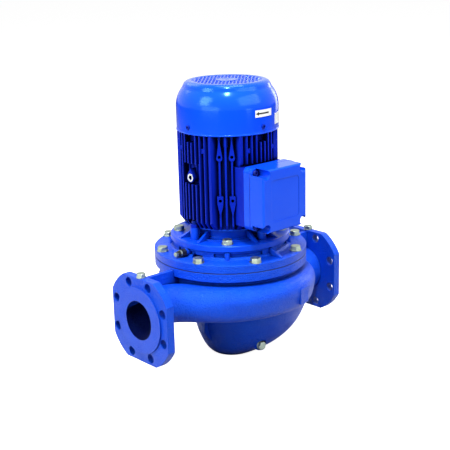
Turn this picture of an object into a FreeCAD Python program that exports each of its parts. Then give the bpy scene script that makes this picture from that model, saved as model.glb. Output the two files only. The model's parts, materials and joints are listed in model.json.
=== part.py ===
import FreeCAD, Part
import Sketcher
import math
import os
import sys

# In-line circulator pump with a dry rotor: a cast volute casing in the pipe, a bracket on
# top of it and a flange-mounted motor standing on the bracket. Millimetres, +Z up along the
# shaft. The origin is the centre of the flat foot under the suction bend, on the shaft axis.
# The pipe runs along X: it enters at +X, turns up into the impeller and leaves at -X.
# The terminal box looks along -Y.

doc = FreeCAD.newDocument("circulator_pump")
sheet = doc.addObject("Spreadsheet::Sheet", "Sizes")
parts_made = []
rows = []

Vector = FreeCAD.Vector
UP = Vector(0, 0, 1)
AHEAD = Vector(1, 0, 0)
LEFTWARD = Vector(0, 1, 0)
LEVEL = "XY_Plane"
ALONG_PIPE = "XZ_Plane"
ACROSS_PIPE = "YZ_Plane"


class Size:
    """A length or angle: the number it has now, and the expression that keeps it live."""

    def __init__(self, number, text):
        self.number = float(number)
        self.text = text

    def __add__(self, other):
        other = as_size(other)
        return Size(self.number + other.number, "(%s + %s)" % (self.text, other.text))

    def __sub__(self, other):
        other = as_size(other)
        return Size(self.number - other.number, "(%s - %s)" % (self.text, other.text))

    def __mul__(self, other):
        other = as_size(other)
        return Size(self.number * other.number, "(%s * %s)" % (self.text, other.text))

    def __truediv__(self, other):
        other = as_size(other)
        return Size(self.number / other.number, "(%s / %s)" % (self.text, other.text))

    def __neg__(self):
        return Size(-self.number, "(0 - %s)" % self.text)

    def __radd__(self, other):
        return as_size(other) + self

    def __rsub__(self, other):
        return as_size(other) - self

    def __rmul__(self, other):
        return as_size(other) * self

    def __float__(self):
        return self.number


def as_size(value):
    if isinstance(value, Size):
        return value
    return Size(value, repr(float(value)))


def square_root(value):
    return Size(math.sqrt(value.number), "sqrt(%s)" % value.text)


def beside(radius, across):
    """How far out a circle of that radius is, at a distance across from the middle line."""
    return square_root(radius * radius - across * across)


def size(alias, number, note):
    """Give one driving dimension its own row of the sheet."""
    rows.append(alias)
    place = len(rows)
    sheet.set("A%d" % place, note)
    sheet.set("B%d" % place, str(number))
    sheet.setAlias("B%d" % place, alias)
    return Size(number, "Sizes." + alias)


# Pipe ports and their flanges
pipe_height = size("pipe_height", 130, "pipe axis above the foot")
face_to_face = size("face_to_face", 500, "between the two flange faces")
port_radius = size("port_radius", 40, "bore of both ports")
flange_radius = size("flange_radius", 100, "pipe flange, outside")
flange_flat = size("flange_flat", 88, "pipe flange, axis to each of its four flats")
flange_thick = size("flange_thick", 20, "pipe flange with its raised face")
raised_radius = size("raised_radius", 69, "raised sealing face")
raised_height = size("raised_height", 3, "raised sealing face above the bolting face")
flange_bolt_radius = size("flange_bolt_radius", 80, "pipe flange bolt circle")
flange_hole_radius = size("flange_hole_radius", 9.5, "pipe flange bolt holes")
flange_hole_count = 8

# Volute casing
casing_wall = size("casing_wall", 8, "cast wall of the casing")
volute_above_pipe = size("volute_above_pipe", 26.5, "middle of the volute above the pipe axis")
ring_radius = size("ring_radius", 160.5, "casing flange, outside")
ring_thick = size("ring_thick", 18, "casing flange")
ring_neck_radius = size("ring_neck_radius", 148, "neck below the casing flange")
ring_step = size("ring_step", 6, "height of the step under the casing flange")
volute_inner_radius = size("volute_inner_radius", 112, "inner edge of the spiral passage")
volute_start_radius = size("volute_start_radius", 152, "outside of the volute at the tongue")
volute_growth = size("volute_growth", 36, "how much the volute grows out over its wrap")
volute_start_half = size("volute_start_half", 21, "half height of the passage at the tongue")
volute_end_half = size("volute_end_half", 28.5, "half height of the passage at the end of its wrap")
cover_above_volute = size("cover_above_volute", 21.5, "casing cover above the middle of the volute")
cover_deep = size("cover_deep", 42, "underside of the casing cover below the joint of the casing")
tongue_angle = 175.0
volute_wrap = 305.0
volute_steps = 7
volute_fullness = 2.8
discharge_drop = 9
register_radius = size("register_radius", 130, "bore that centres the bracket")
register_fit = size("register_fit", 0.1, "radial clearance of the bracket in that bore")
casing_bolt_radius = size("casing_bolt_radius", 148.5, "bolt circle of the casing flange")
casing_bolt_count = 8
foot_radius = size("foot_radius", 44, "flat foot under the suction bend")
eye_radius = size("eye_radius", 44, "suction eye below the impeller")
eye_plate_thick = size("eye_plate_thick", 16, "plate around the eye, below the wear ring")
bowl_wall = size("bowl_wall", 11, "wall of the suction bowl, measured level")
bowl_floor = size("bowl_floor", 10, "floor of the suction bowl above the foot")
bowl_overlap = size("bowl_overlap", 8, "bowl cut up into the plate around the eye")
rib_thick = size("rib_thick", 10, "casting ribs of the casing")
foot_rib_out = size("foot_rib_out", 38, "rib of the foot, from the foot out to its upright edge")
foot_rib_knee = size("foot_rib_knee", 56, "knee of that rib above the foot")
foot_rib_in = size("foot_rib_in", 11, "rib of the foot, from the foot out to its lower corner")
foot_rib_low = size("foot_rib_low", 22, "lower edge of that rib above the foot")
cast_pad_wide = size("cast_pad_wide", 30, "cast pad on the side of the volute")
cast_pad_tall = size("cast_pad_tall", 34, "cast pad on the side of the volute")
cast_pad_proud = size("cast_pad_proud", 1.5, "cast pad proud of the volute")
cast_pad_root = size("cast_pad_root", 20, "cast pad reaching into the wall of the volute")
cast_pad_below = size("cast_pad_below", 3, "middle of the cast pad below the middle of the volute")
cast_pad_angle = -77.0
drain_across = size("drain_across", 0.8, "drain plug beside the shaft axis")
drain_out = size("drain_out", 86, "seat of the drain plug from the shaft axis")
drain_height = size("drain_height", 29.7, "drain plug above the foot")
drain_boss_radius = size("drain_boss_radius", 12, "boss of the drain plug")
drain_boss_long = size("drain_boss_long", 34, "boss of the drain plug")

# Gasket and bracket
gasket_thick = size("gasket_thick", 1, "flat gasket of the casing joint")
bracket_flange_thick = size("bracket_flange_thick", 17, "bracket flange on the casing")
lantern_tall = size("lantern_tall", 17, "bracket wall between its flange and the motor seat")
lantern_radius = size("lantern_radius", 121, "outside of the bracket wall")
lantern_wall = size("lantern_wall", 16, "bracket wall")
lantern_recess = size("lantern_recess", 4, "depth of the recesses in the bracket wall")
recess_lip = size("recess_lip", 5, "wall left above and below the recesses")
cover_thick = size("cover_thick", 10, "plate of the casing cover")
spigot_radius = size("spigot_radius", 90, "motor spigot")
spigot_depth = size("spigot_depth", 4, "motor spigot")
spigot_fit = size("spigot_fit", 0.05, "radial clearance of the motor spigot")
spigot_below = size("spigot_below", 1, "room under the motor spigot")
web_thick = size("web_thick", 6, "webs of the bracket")
drip_wide = size("drip_wide", 24, "drip opening of the bracket")
drip_tall = size("drip_tall", 6, "drip opening of the bracket")
drip_angle = -75.0

# Motor
motor_flange_radius = size("motor_flange_radius", 125, "motor flange, outside")
motor_flange_thick = size("motor_flange_thick", 12, "motor flange")
motor_bolt_radius = size("motor_bolt_radius", 107.5, "motor flange bolt circle")
motor_bolt_count = 4
shield_neck_radius = size("shield_neck_radius", 77, "drive-end shield between flange and frame")
shield_tall = size("shield_tall", 25, "drive-end shield above the motor flange")
frame_length = size("frame_length", 193, "finned frame")
barrel_radius = size("barrel_radius", 90, "finned frame under its fins")
barrel_wall = size("barrel_wall", 6, "finned frame wall")
fin_radius = size("fin_radius", 104.5, "circle that the fin tips lie on")
fin_thick = size("fin_thick", 3.4, "cooling fin")
fin_pitch = size("fin_pitch", 10.6, "cooling fins, middle to middle")
fins_each_side = 10
short_fin_low = size("short_fin_low", 18, "middle fins end this much above the others")
short_fin_high = size("short_fin_high", 16, "middle fins end this much below the others")
fin_bevel = size("fin_bevel", 10.5, "slant at the lower end of the fins, inwards")
fin_bevel_tall = size("fin_bevel_tall", 15, "slant at the lower end of the fins, upwards")
core_length = size("core_length", 110, "stator and rotor laminations")
core_above_frame = size("core_above_frame", 40, "laminations above the lower end of the frame")
stator_bore_radius = size("stator_bore_radius", 51, "stator bore")
air_gap = size("air_gap", 0.4, "between rotor and stator")
winding_overhang = size("winding_overhang", 22, "windings beyond the laminations")
winding_inset = size("winding_inset", 5, "windings outside the stator bore")
end_ring_tall = size("end_ring_tall", 10, "end rings of the rotor")

# Shaft, bearings and seal
shaft_radius = size("shaft_radius", 15, "shaft through the bearings")
seal_shaft_radius = size("seal_shaft_radius", 14, "shaft under the mechanical seal")
impeller_shaft_radius = size("impeller_shaft_radius", 12, "shaft in the impeller hub")
thread_below_nut = size("thread_below_nut", 4, "shaft thread standing out below the impeller nut")
drive_bearing_above = size("drive_bearing_above", 5, "drive-end bearing above the motor flange")
drive_bearing_radius = size("drive_bearing_radius", 36, "drive-end bearing, outside")
drive_bearing_width = size("drive_bearing_width", 19, "drive-end bearing")
drive_ball_radius = size("drive_ball_radius", 6, "drive-end bearing balls")
tail_bearing_below = size("tail_bearing_below", 19,
                          "fan-end bearing, its lower side below the end of the frame")
drive_ball_count = 8
tail_bearing_radius = size("tail_bearing_radius", 31, "fan-end bearing, outside")
tail_bearing_width = size("tail_bearing_width", 16, "fan-end bearing")
tail_ball_radius = size("tail_ball_radius", 4.7, "fan-end bearing balls")
tail_ball_count = 9
ball_play = size("ball_play", 0.3, "between a ball and its grooves")
cage_play = size("cage_play", 0.2, "between a ball and its cage")
thread_radius = size("thread_radius", 8, "shaft thread under the impeller")
thread_fit = size("thread_fit", 0.05, "between a screw and its thread")
fan_shaft_radius = size("fan_shaft_radius", 12, "shaft in the fan")
rotor_shoulder = size("rotor_shoulder", 19, "shaft between the bearings")
shaft_above_fan = size("shaft_above_fan", 20, "shaft above the fan disc")
shaft_hole_radius = size("shaft_hole_radius", 17, "holes that the shaft passes through")
seal_room_radius = size("seal_room_radius", 30, "room of the mechanical seal")
seal_hub_radius = size("seal_hub_radius", 37, "seal housing on the cover")
seal_hub_tall = size("seal_hub_tall", 35, "seal housing above the underside of the cover")
seat_radius = size("seat_radius", 24, "bore of the seal seat")
seat_room_tall = size("seat_room_tall", 22, "room of the turning half of the seal")
seat_tall = size("seat_tall", 9, "bore of the seal seat")
shaft_shoulder_above = size("shaft_shoulder_above", 4, "shoulder of the shaft above the seal housing")
face_tall = size("face_tall", 5, "turning face of the seal")
face_play = size("face_play", 0.05, "film between the seal faces")
slinger_above = size("slinger_above", 23, "slinger ring above the seal housing")
spring_wire_radius = size("spring_wire_radius", 1, "wire of the seal spring")
spring_fit = size("spring_fit", 0.2, "between the seal spring and its seats")
spring_turns = 2

# Impeller
impeller_radius = size("impeller_radius", 105, "impeller, outside")
impeller_outlet = size("impeller_outlet", 16, "impeller passage at its rim")
shroud_thick = size("shroud_thick", 4, "impeller shrouds")
impeller_eye_radius = size("impeller_eye_radius", 41, "impeller inlet")
wear_ring_gap = size("wear_ring_gap", 0.35, "radial gap between impeller and wear ring")
impeller_neck_radius = size("impeller_neck_radius", 45.5, "impeller neck in the wear ring")
impeller_neck_tall = size("impeller_neck_tall", 14, "impeller neck in the wear ring")
impeller_hub_radius = size("impeller_hub_radius", 21, "impeller hub")
impeller_hub_tall = size("impeller_hub_tall", 36, "impeller hub under the casing cover")
impeller_below = size("impeller_below", 42, "lower end of the impeller below the middle of the volute")
wear_ring_below = size("wear_ring_below", 2.5, "wear ring below the end of the impeller")
wear_ring_tall = size("wear_ring_tall", 12, "wear ring")
wear_ring_radius = size("wear_ring_radius", 54, "wear ring, outside")
washer_tall = size("washer_tall", 3, "impeller washer")
nut_tall = size("nut_tall", 14, "impeller nut")
nut_flats = size("nut_flats", 24, "impeller nut across its flats")
key_width = size("key_width", 8, "impeller key")
key_depth = size("key_depth", 4, "impeller key sunk in the shaft")
key_proud = size("key_proud", 3, "impeller key standing out of the shaft")
key_above = size("key_above", 8, "impeller key above the lower end of the hub")
key_length = size("key_length", 22, "impeller key")
key_play = size("key_play", 0.3, "over the key in the impeller")
blade_count = 6
blade_thick = size("blade_thick", 4, "impeller blade")
blade_curve = size("blade_curve", 62, "radius of the curved blades")
blade_sweep = 62.0

# Fasteners
casing_bolt_size = size("casing_bolt_size", 6, "radius of the casing bolts")
casing_bolt_grip = size("casing_bolt_grip", 13, "casing bolts in the casing")
casing_thread_deep = size("casing_thread_deep", 16, "tapped holes in the casing flange")
bolt_clearance = size("bolt_clearance", 1, "around the bolts in their clearance holes")
bolt_flats = size("bolt_flats", 19, "casing and motor bolts across their flats")
bolt_head_tall = size("bolt_head_tall", 8, "heads of the casing and motor bolts")
washer_radius = size("washer_radius", 12, "washers of the casing and motor bolts")
washer_thick = size("washer_thick", 2, "washers of the casing and motor bolts")
motor_bolt_size = size("motor_bolt_size", 6, "radius of the motor bolts")
motor_bolt_grip = size("motor_bolt_grip", 20, "motor bolts in the bracket")
plug_thread_radius = size("plug_thread_radius", 6.5, "gauge and drain plugs")
plug_thread_long = size("plug_thread_long", 11, "gauge and drain plugs")
plug_hole_deep = size("plug_hole_deep", 14, "tapped holes of the plugs")
plug_flats = size("plug_flats", 17, "gauge and drain plugs across their flats")
plug_head_tall = size("plug_head_tall", 7, "heads of the gauge and drain plugs")
plug_ring_radius = size("plug_ring_radius", 9.5, "sealing rings of the plugs")
gauge_hole_radius = size("gauge_hole_radius", 2.5, "gauge drillings into the bore")
ear_middle = size("ear_middle", 97, "screws between shield and frame, from the axis")
ear_radius = size("ear_radius", 9, "ears around those screws")
ear_tall = size("ear_tall", 8, "ears of the frame")
ear_screw = size("ear_screw", 3, "radius of those screws")
ear_screw_grip = size("ear_screw_grip", 12, "those screws in the shield")
tail_screw_radius = size("tail_screw_radius", 91.5, "screws of the fan-end shield, from the axis")
tail_screw = size("tail_screw", 2.5, "radius of those screws")
tail_screw_grip = size("tail_screw_grip", 14, "those screws in the frame")
cover_screw = size("cover_screw", 2.5, "radius of the fan cover screws")
cover_screw_above = size("cover_screw_above", 14.5, "fan cover screws above the frame")
cover_screw_long = size("cover_screw_long", 8.5, "fan cover screws")
frame_screw_above = size("frame_screw_above", 162, "small screws of the frame above its lower end")
frame_screw_across = size("frame_screw_across", 31, "small screws beside the middle of each side")
frame_screw_radius = size("frame_screw_radius", 1.6, "small screws of the frame")
frame_boss_radius = size("frame_boss_radius", 5, "round bosses of those screws")
lid_screw = size("lid_screw", 2.5, "radius of the terminal lid screws")
lid_ledge = size("lid_ledge", 6, "ledge under the heads of the lid screws")
lid_screw_inset = size("lid_screw_inset", 9, "terminal lid screws from the edges")
entry_radius = size("entry_radius", 6, "cable entry of the terminal box")
entry_above = size("entry_above", 45, "cable entry above the lower side of the box")
vent_above_flange = size("vent_above_flange", 8.5, "bleed valve above the bracket flange")
vent_across = size("vent_across", 4, "bleed valve beside the pipe axis")
vent_thread_radius = size("vent_thread_radius", 4, "thread of the bleed valve")
vent_proud = size("vent_proud", 7.5, "seat of the bleed valve proud of the bracket wall")
vent_seat_radius = size("vent_seat_radius", 8, "seat of the bleed valve")
clip_depth = size("clip_depth", 0.6, "fan clip sunk in the shaft")
clip_thick = size("clip_thick", 1.2, "fan clip")
clip_play = size("clip_play", 0.1, "between the fan clip and its groove")
plate_thick = size("plate_thick", 0.5, "rating and arrow plates")
plate_glue = size("plate_glue", 0.05, "between the plates and the fan cover")

# Frame details
broad_fin_thick = size("broad_fin_thick", 7, "outermost fin of each side")
pad_spread = size("pad_spread", 12.4, "foot pads beside the corner line")
pad_face = size("pad_face", 101, "foot pads from the axis")
pad_half = size("pad_half", 6, "foot pads, half of their width")
pad_rib = size("pad_rib", 3.6, "ribs that carry the foot pads")
pad_hole_radius = size("pad_hole_radius", 3.2, "tapped holes of the foot pads")
pad_hole_deep = size("pad_hole_deep", 11, "tapped holes of the foot pads")
upper_pad_low = size("upper_pad_low", 143, "round lower end of the upper foot pads above the frame's end")
upper_pad_high = size("upper_pad_high", 188, "point of the upper foot pads above the frame's end")
upper_pad_hole = size("upper_pad_hole", 151.6, "holes of the upper foot pads above the frame's end")
lower_pad_top = size("lower_pad_top", 72, "flat end of the lower foot pads above the frame's end")
lower_pad_shoulder = size("lower_pad_shoulder", 56, "where the lower foot pads start to narrow")
lower_pad_point = size("lower_pad_point", 28, "point of the lower foot pads above the frame's end")
lower_pad_hole = size("lower_pad_hole", 62.5, "holes of the lower foot pads above the frame's end")
eye_half = size("eye_half", 10, "lifting eye, half of its width")
eye_bottom = size("eye_bottom", 95, "lifting eye above the lower end of the frame")
eye_tall = size("eye_tall", 29, "lifting eye")
eye_hole_radius = size("eye_hole_radius", 4.5, "lifting eye thread")
eye_proud = size("eye_proud", 0.5, "lifting eye below the fin tips")

# Fan and its cover
fan_radius = size("fan_radius", 92, "fan, outside")
fan_above_frame = size("fan_above_frame", 21, "fan disc above the frame")
fan_disc_thick = size("fan_disc_thick", 2, "fan disc")
fan_hub_radius = size("fan_hub_radius", 20, "fan hub")
fan_hub_below = size("fan_hub_below", 14, "fan hub below its disc")
fan_hub_above = size("fan_hub_above", 16, "fan hub above the underside of its disc")
fan_blade_tall = size("fan_blade_tall", 24, "fan blades")
fan_blade_thick = size("fan_blade_thick", 2.4, "fan blades")
fan_blade_count = 8
cover_radius = size("cover_radius", 105, "fan cover, outside")
cover_sheet = size("cover_sheet", 1.8, "fan cover sheet")
cover_straight = size("cover_straight", 50, "straight part of the fan cover")
dome_height = size("dome_height", 49, "rounded part of the fan cover")
dome_side_in = size("dome_side_in", 15.5, "how far the side of the dome leans in")
dome_side_tall = size("dome_side_tall", 37, "leaning side of the dome")
dome_side_bend = size("dome_side_bend", 72, "curve of that side")
dome_shoulder_in = size("dome_shoulder_in", 28, "inner end of the dome's shoulder from its outside")
dome_shoulder_bend = size("dome_shoulder_bend", 12.5, "curve of the shoulder")
grille_radius = size("grille_radius", 72, "perforated field of the fan cover")
grille_pitch = size("grille_pitch", 11, "slots of the grille, middle to middle")
grille_bar = size("grille_bar", 4.4, "bars between the slots")
grille_hub = size("grille_hub", 19, "solid disc in the middle of the grille")
grille_rows = 13
grille_turn = 45.0
lug_half = size("lug_half", 7, "lugs that carry the fan cover, half of their width")
lug_tall = size("lug_tall", 21, "lugs that carry the fan cover")
lug_play = size("lug_play", 0.1, "between the lugs and the fan cover")

# Terminal box
box_half_width = size("box_half_width", 60, "terminal box, half of its width")
box_above_frame = size("box_above_frame", 8, "terminal box above the lower end of the frame")
box_tall = size("box_tall", 127, "terminal box")
box_root = size("box_root", 109, "seat of the terminal box, from the shaft axis")
box_base_deep = size("box_base_deep", 16, "terminal box base")
box_lid_deep = size("box_lid_deep", 39, "terminal box lid")
box_wall = size("box_wall", 4, "terminal box walls")
box_corner = size("box_corner", 10, "terminal box corners")
box_gasket = size("box_gasket", 1, "terminal box gaskets")
box_neck_inset = size("box_neck_inset", 4, "neck of the frame inside the outline of the box")
box_neck_wall = size("box_neck_wall", 6, "wall of that neck")
lead_half = size("lead_half", 30, "lead hole of the box, half of its width")
lead_tall = size("lead_tall", 20, "lead hole of the box")
panel_inset = size("panel_inset", 22, "shallow panel on the lid, from its edges")
panel_deep = size("panel_deep", 0.8, "shallow panel on the lid")
channel_radius = size("channel_radius", 9.5, "channels over the lid screws")
block_deep = size("block_deep", 14, "terminal block")
well_deep = size("well_deep", 5, "wells of the terminal block")
stud_tall = size("stud_tall", 19, "terminal studs above the floors of the wells")
stud_nut_tall = size("stud_nut_tall", 4, "nuts of the terminal studs")

# Heights above the foot, each standing on the one below it
volute_height = pipe_height + volute_above_pipe
impeller_bottom = volute_height - impeller_below
wear_ring_bottom = impeller_bottom - wear_ring_below
eye_plate_bottom = wear_ring_bottom - eye_plate_thick
bowl_roof = eye_plate_bottom + bowl_overlap
cover_height = volute_height + cover_above_volute
joint_height = cover_height + cover_deep
shelf_height = joint_height + gasket_thick + bracket_flange_thick
motor_seat_height = shelf_height + lantern_tall
motor_flange_top = motor_seat_height + motor_flange_thick
frame_bottom = motor_flange_top + shield_tall
frame_top = frame_bottom + frame_length
core_bottom = frame_bottom + core_above_frame
drive_bearing_bottom = motor_flange_top + drive_bearing_above
tail_bearing_bottom = frame_top - tail_bearing_below
fan_height = frame_top + fan_above_frame
shaft_top = fan_height + shaft_above_fan
vent_height = shelf_height + vent_above_flange
box_bottom = frame_bottom + box_above_frame
box_top = box_bottom + box_tall
cover_screw_height = frame_top + cover_screw_above
seal_hub_top = cover_height + seal_hub_tall
slinger_bottom = seal_hub_top + slinger_above
seat_bottom = cover_height + seat_room_tall
seat_top = seat_bottom + seat_tall
hub_bottom = cover_height - impeller_hub_tall
nut_bottom = hub_bottom - washer_tall - nut_tall
shaft_bottom = nut_bottom - thread_below_nut


# Helpers that draw bound sketches and add steps to bodies

def number(value):
    return float(value)


def register(item, label):
    """Name a finished sub-part and put it on the list of those that are written out."""
    item.Label = label
    parts_made.append((label, item))
    return item


def new_body(label):
    return register(doc.addObject("PartDesign::Body", label), label)


def origin_item(body, role):
    """One of the body's own planes or axes."""
    for item in body.Origin.OriginFeatures:
        if item.Role == role:
            return item
    return None


def new_sketch(body, name, role, lift=0, turn=0, shift=0, rise=0):
    """Sketch on a plane of the body: lifted off it, turned about the shaft and moved in it."""
    sketch = body.newObject("Sketcher::SketchObject", name)
    sketch.AttachmentSupport = (origin_item(body, role), [""])
    sketch.MapMode = "FlatFace"
    angle = math.radians(turn)
    lift = as_size(lift)
    if role == LEVEL:
        offset = (as_size(shift), as_size(rise), lift)
        rotation = FreeCAD.Rotation(UP, turn)
    else:
        offset = (as_size(shift) + lift * math.sin(angle), as_size(rise), lift * math.cos(angle))
        rotation = FreeCAD.Rotation(LEFTWARD, turn)
    base = Vector(*[number(part) for part in offset])
    sketch.AttachmentOffset = FreeCAD.Placement(base, rotation)
    for axis, part in zip("xyz", offset):
        if "Sizes" in part.text:
            sketch.setExpression("AttachmentOffset.Base." + axis, part.text)
    return sketch


def bind(sketch, constraint, value):
    """Add a constraint whose value follows the sheet."""
    index = sketch.addConstraint(constraint)
    sketch.setExpression("Constraints[%d]" % index, as_size(value).text)


def outline_side(start, end):
    """One side of an outline: a straight line, or an arc where the start names a radius.

    A positive radius puts the arc's centre on the left of the way from start to end."""
    first = Vector(number(start[0]), number(start[1]), 0)
    last = Vector(number(end[0]), number(end[1]), 0)
    if len(start) < 3:
        return Part.LineSegment(first, last), 1, 2
    radius = number(start[2])
    chord = last - first
    reach = math.sqrt(max(radius * radius - chord.Length * chord.Length / 4, 0))
    normal = Vector(-chord.y, chord.x, 0)
    normal.normalize()
    side = 1 if radius > 0 else -1
    centre = (first + last) * 0.5 + normal * (reach * side)
    circle = Part.Circle(centre, UP, abs(radius))
    if side > 0:
        arc = Part.ArcOfCircle(circle, circle.parameter(first), circle.parameter(last))
        return arc, 1, 2
    arc = Part.ArcOfCircle(circle, circle.parameter(last), circle.parameter(first))
    return arc, 2, 1


def draw_outline(sketch, points):
    """Closed outline through points, each a pair of sizes and, before an arc, its radius."""
    count = len(points)
    before = sketch.GeometryCount
    sides = [outline_side(points[i], points[(i + 1) % count]) for i in range(count)]
    sketch.addGeometry([side[0] for side in sides], False)
    for i in range(count):
        following = (i + 1) % count
        sketch.addConstraint(Sketcher.Constraint("Coincident", before + i, sides[i][2],
                                                 before + following, sides[following][1]))
    for i, point in enumerate(points):
        start = sides[i][1]
        for kind, value in (("DistanceX", point[0]), ("DistanceY", point[1])):
            bind(sketch, Sketcher.Constraint(kind, before + i, start, number(value)), value)
        if len(point) > 2:
            radius = as_size(point[2])
            if radius.number < 0:
                radius = -radius
            bind(sketch, Sketcher.Constraint("Radius", before + i, radius.number), radius)
    return sketch


def draw_circle(sketch, across, along, radius):
    index = sketch.GeometryCount
    centre = Vector(number(across), number(along), 0)
    sketch.addGeometry(Part.Circle(centre, UP, number(radius)), False)
    bind(sketch, Sketcher.Constraint("DistanceX", index, 3, number(across)), across)
    bind(sketch, Sketcher.Constraint("DistanceY", index, 3, number(along)), along)
    bind(sketch, Sketcher.Constraint("Radius", index, number(radius)), radius)
    return sketch


def rectangle(left, right, low, high):
    return [(left, low), (right, low), (right, high), (left, high)]


def rounded(left, right, low, high, corner):
    """Outline of a rectangle with rounded corners, anticlockwise."""
    return [(left + corner, low), (right - corner, low, corner), (right, low + corner),
            (right, high - corner, corner), (right - corner, high), (left + corner, high, corner),
            (left, high - corner), (left, low + corner, corner)]


def hexagon(flats, across=0, along=0):
    """Outline of a hexagon of that width across its flats."""
    corner = as_size(flats) / math.sqrt(3)
    return [(across + corner * math.cos(math.radians(60 * i)),
             along + corner * math.sin(math.radians(60 * i))) for i in range(6)]


def step(body, kind, name, sketch, length=None):
    """Add one step to a body. Its length, if it has one, is bound to the sheet."""
    made = body.newObject("PartDesign::" + kind, name)
    made.Profile = sketch
    if length is not None:
        made.Length = number(length)
        made.setExpression("Length", as_size(length).text)
    return made


def pad(body, name, sketch, length, both_ways=False):
    made = step(body, "Pad", name, sketch, length)
    if both_ways:
        made.SideType = "Symmetric"
    return made


def pocket(body, name, sketch, length):
    return step(body, "Pocket", name, sketch, length)


def turn_on(body, kind, name, sketch, axis="V_Axis"):
    """Revolution or groove about an axis of its sketch."""
    made = step(body, kind, name, sketch)
    made.ReferenceAxis = (sketch, [axis])
    made.Angle = 360
    return made


def repeat(body, steps, name, count, angle=360):
    """Repeat steps about the shaft axis."""
    pattern = body.newObject("PartDesign::PolarPattern", name)
    pattern.Originals = steps
    pattern.Axis = (origin_item(body, "Z_Axis"), [""])
    pattern.Angle = angle
    pattern.Occurrences = count
    body.Tip = pattern
    return pattern


def turned(label, points, body=None, name="turning"):
    """Solid turned about the shaft axis from an outline of (radius, height) points."""
    if body is None:
        body = new_body(label)
    sketch = new_sketch(body, label + "_" + name + "_outline", ALONG_PIPE)
    draw_outline(sketch, points)
    turn_on(body, "Revolution", label + "_" + name, sketch)
    return body


def ring(label, inner, outer, bottom, top):
    return turned(label, [(inner, bottom), (outer, bottom), (outer, top), (inner, top)])


def shaped(label, shape):
    """Plain shape that is worked out below from the sizes."""
    item = doc.addObject("Part::Feature", label)
    item.Shape = shape
    item.Label = label
    return item


def hex_screw(body, label, across, seat, shank_radius, shank_long, flats, head_tall, ring_wide, ring_tall):
    """Steps of a hexagon-head screw with its washer, standing at a distance from the axis."""
    head_seat = seat + ring_tall
    top = head_seat + head_tall
    corner = flats / math.sqrt(3)
    rod = new_sketch(body, label + "_rod_outline", ALONG_PIPE, shift=across)
    draw_outline(rod, [(0, seat - shank_long), (shank_radius, seat - shank_long), (shank_radius, seat),
                       (ring_wide, seat), (ring_wide, head_seat), (0, head_seat)])
    turning = turn_on(body, "Revolution", label + "_rod", rod)
    flat_sketch = draw_outline(new_sketch(body, label + "_head_outline", LEVEL, head_seat),
                               hexagon(flats, across))
    head = pad(body, label + "_head", flat_sketch, head_tall)
    bevel = new_sketch(body, label + "_bevel_outline", ALONG_PIPE, shift=across)
    draw_outline(bevel, [(corner * 0.86, top), (corner + 1, top - corner * 0.14 - 0.6), (corner + 1, top + 1),
                         (corner * 0.86, top + 1)])
    groove = turn_on(body, "Groove", label + "_bevel", bevel)
    return [turning, head, groove]


def socket_screw(body, label, across, seat, shank_radius, shank_long, head_radius, head_tall):
    """Steps of a round-head screw with a hexagon socket, standing at a distance from the axis."""
    rod = new_sketch(body, label + "_rod_outline", ALONG_PIPE, shift=across)
    draw_outline(rod, [(0, seat - shank_long), (shank_radius, seat - shank_long), (shank_radius, seat),
                       (head_radius, seat), (head_radius, seat + head_tall), (0, seat + head_tall)])
    turning = turn_on(body, "Revolution", label + "_rod", rod)
    socket = draw_outline(new_sketch(body, label + "_socket_outline", LEVEL, seat + head_tall),
                          hexagon(head_radius * 0.9, across))
    hollow = pocket(body, label + "_socket", socket, head_tall * 0.55)
    return [turning, hollow]


# Volute casing

def section(centre, sideways, upwards, half_width, half_height, fullness):
    """Closed smooth section: fullness 2 is an ellipse, more is squarer."""
    points = []
    for i in range(8):
        angle = 2 * math.pi * i / 8
        c, s = math.cos(angle), math.sin(angle)
        across = math.copysign(abs(c) ** (2 / fullness), c) * half_width
        along = math.copysign(abs(s) ** (2 / fullness), s) * half_height
        points.append(centre + sideways * across + upwards * along)
    curve = Part.BSplineCurve()
    curve.interpolate(points, PeriodicFlag=True)
    return Part.Wire([curve.toShape()])


def spiral_station(share):
    """Middle, outward direction and half sizes of the spiral passage at a share of its wrap."""
    inner = number(volute_inner_radius)
    angle = math.radians(tongue_angle - volute_wrap * share)
    outside = number(volute_start_radius) + number(volute_growth) * share
    half_width = (outside - number(casing_wall) - inner) / 2
    start_half = number(volute_start_half)
    half_height = start_half + (number(volute_end_half) - start_half) * share
    outward = Vector(math.cos(angle), math.sin(angle), 0)
    centre = outward * (inner + half_width) + UP * number(volute_height)
    return centre, outward, half_width, half_height


def smooth_way(start, leaving, end, arriving, share):
    """Point and direction on the smooth curve between two points with given directions."""
    square = share * share
    cube = square * share
    point = start * (2 * cube - 3 * square + 1) + leaving * (cube - 2 * square + share)
    point += end * (3 * square - 2 * cube) + arriving * (cube - square)
    slope = start * (6 * square - 6 * share) + leaving * (3 * square - 4 * share + 1)
    slope += end * (6 * share - 6 * square) + arriving * (3 * square - 2 * share)
    slope.z = 0
    slope.normalize()
    return point, slope


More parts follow.
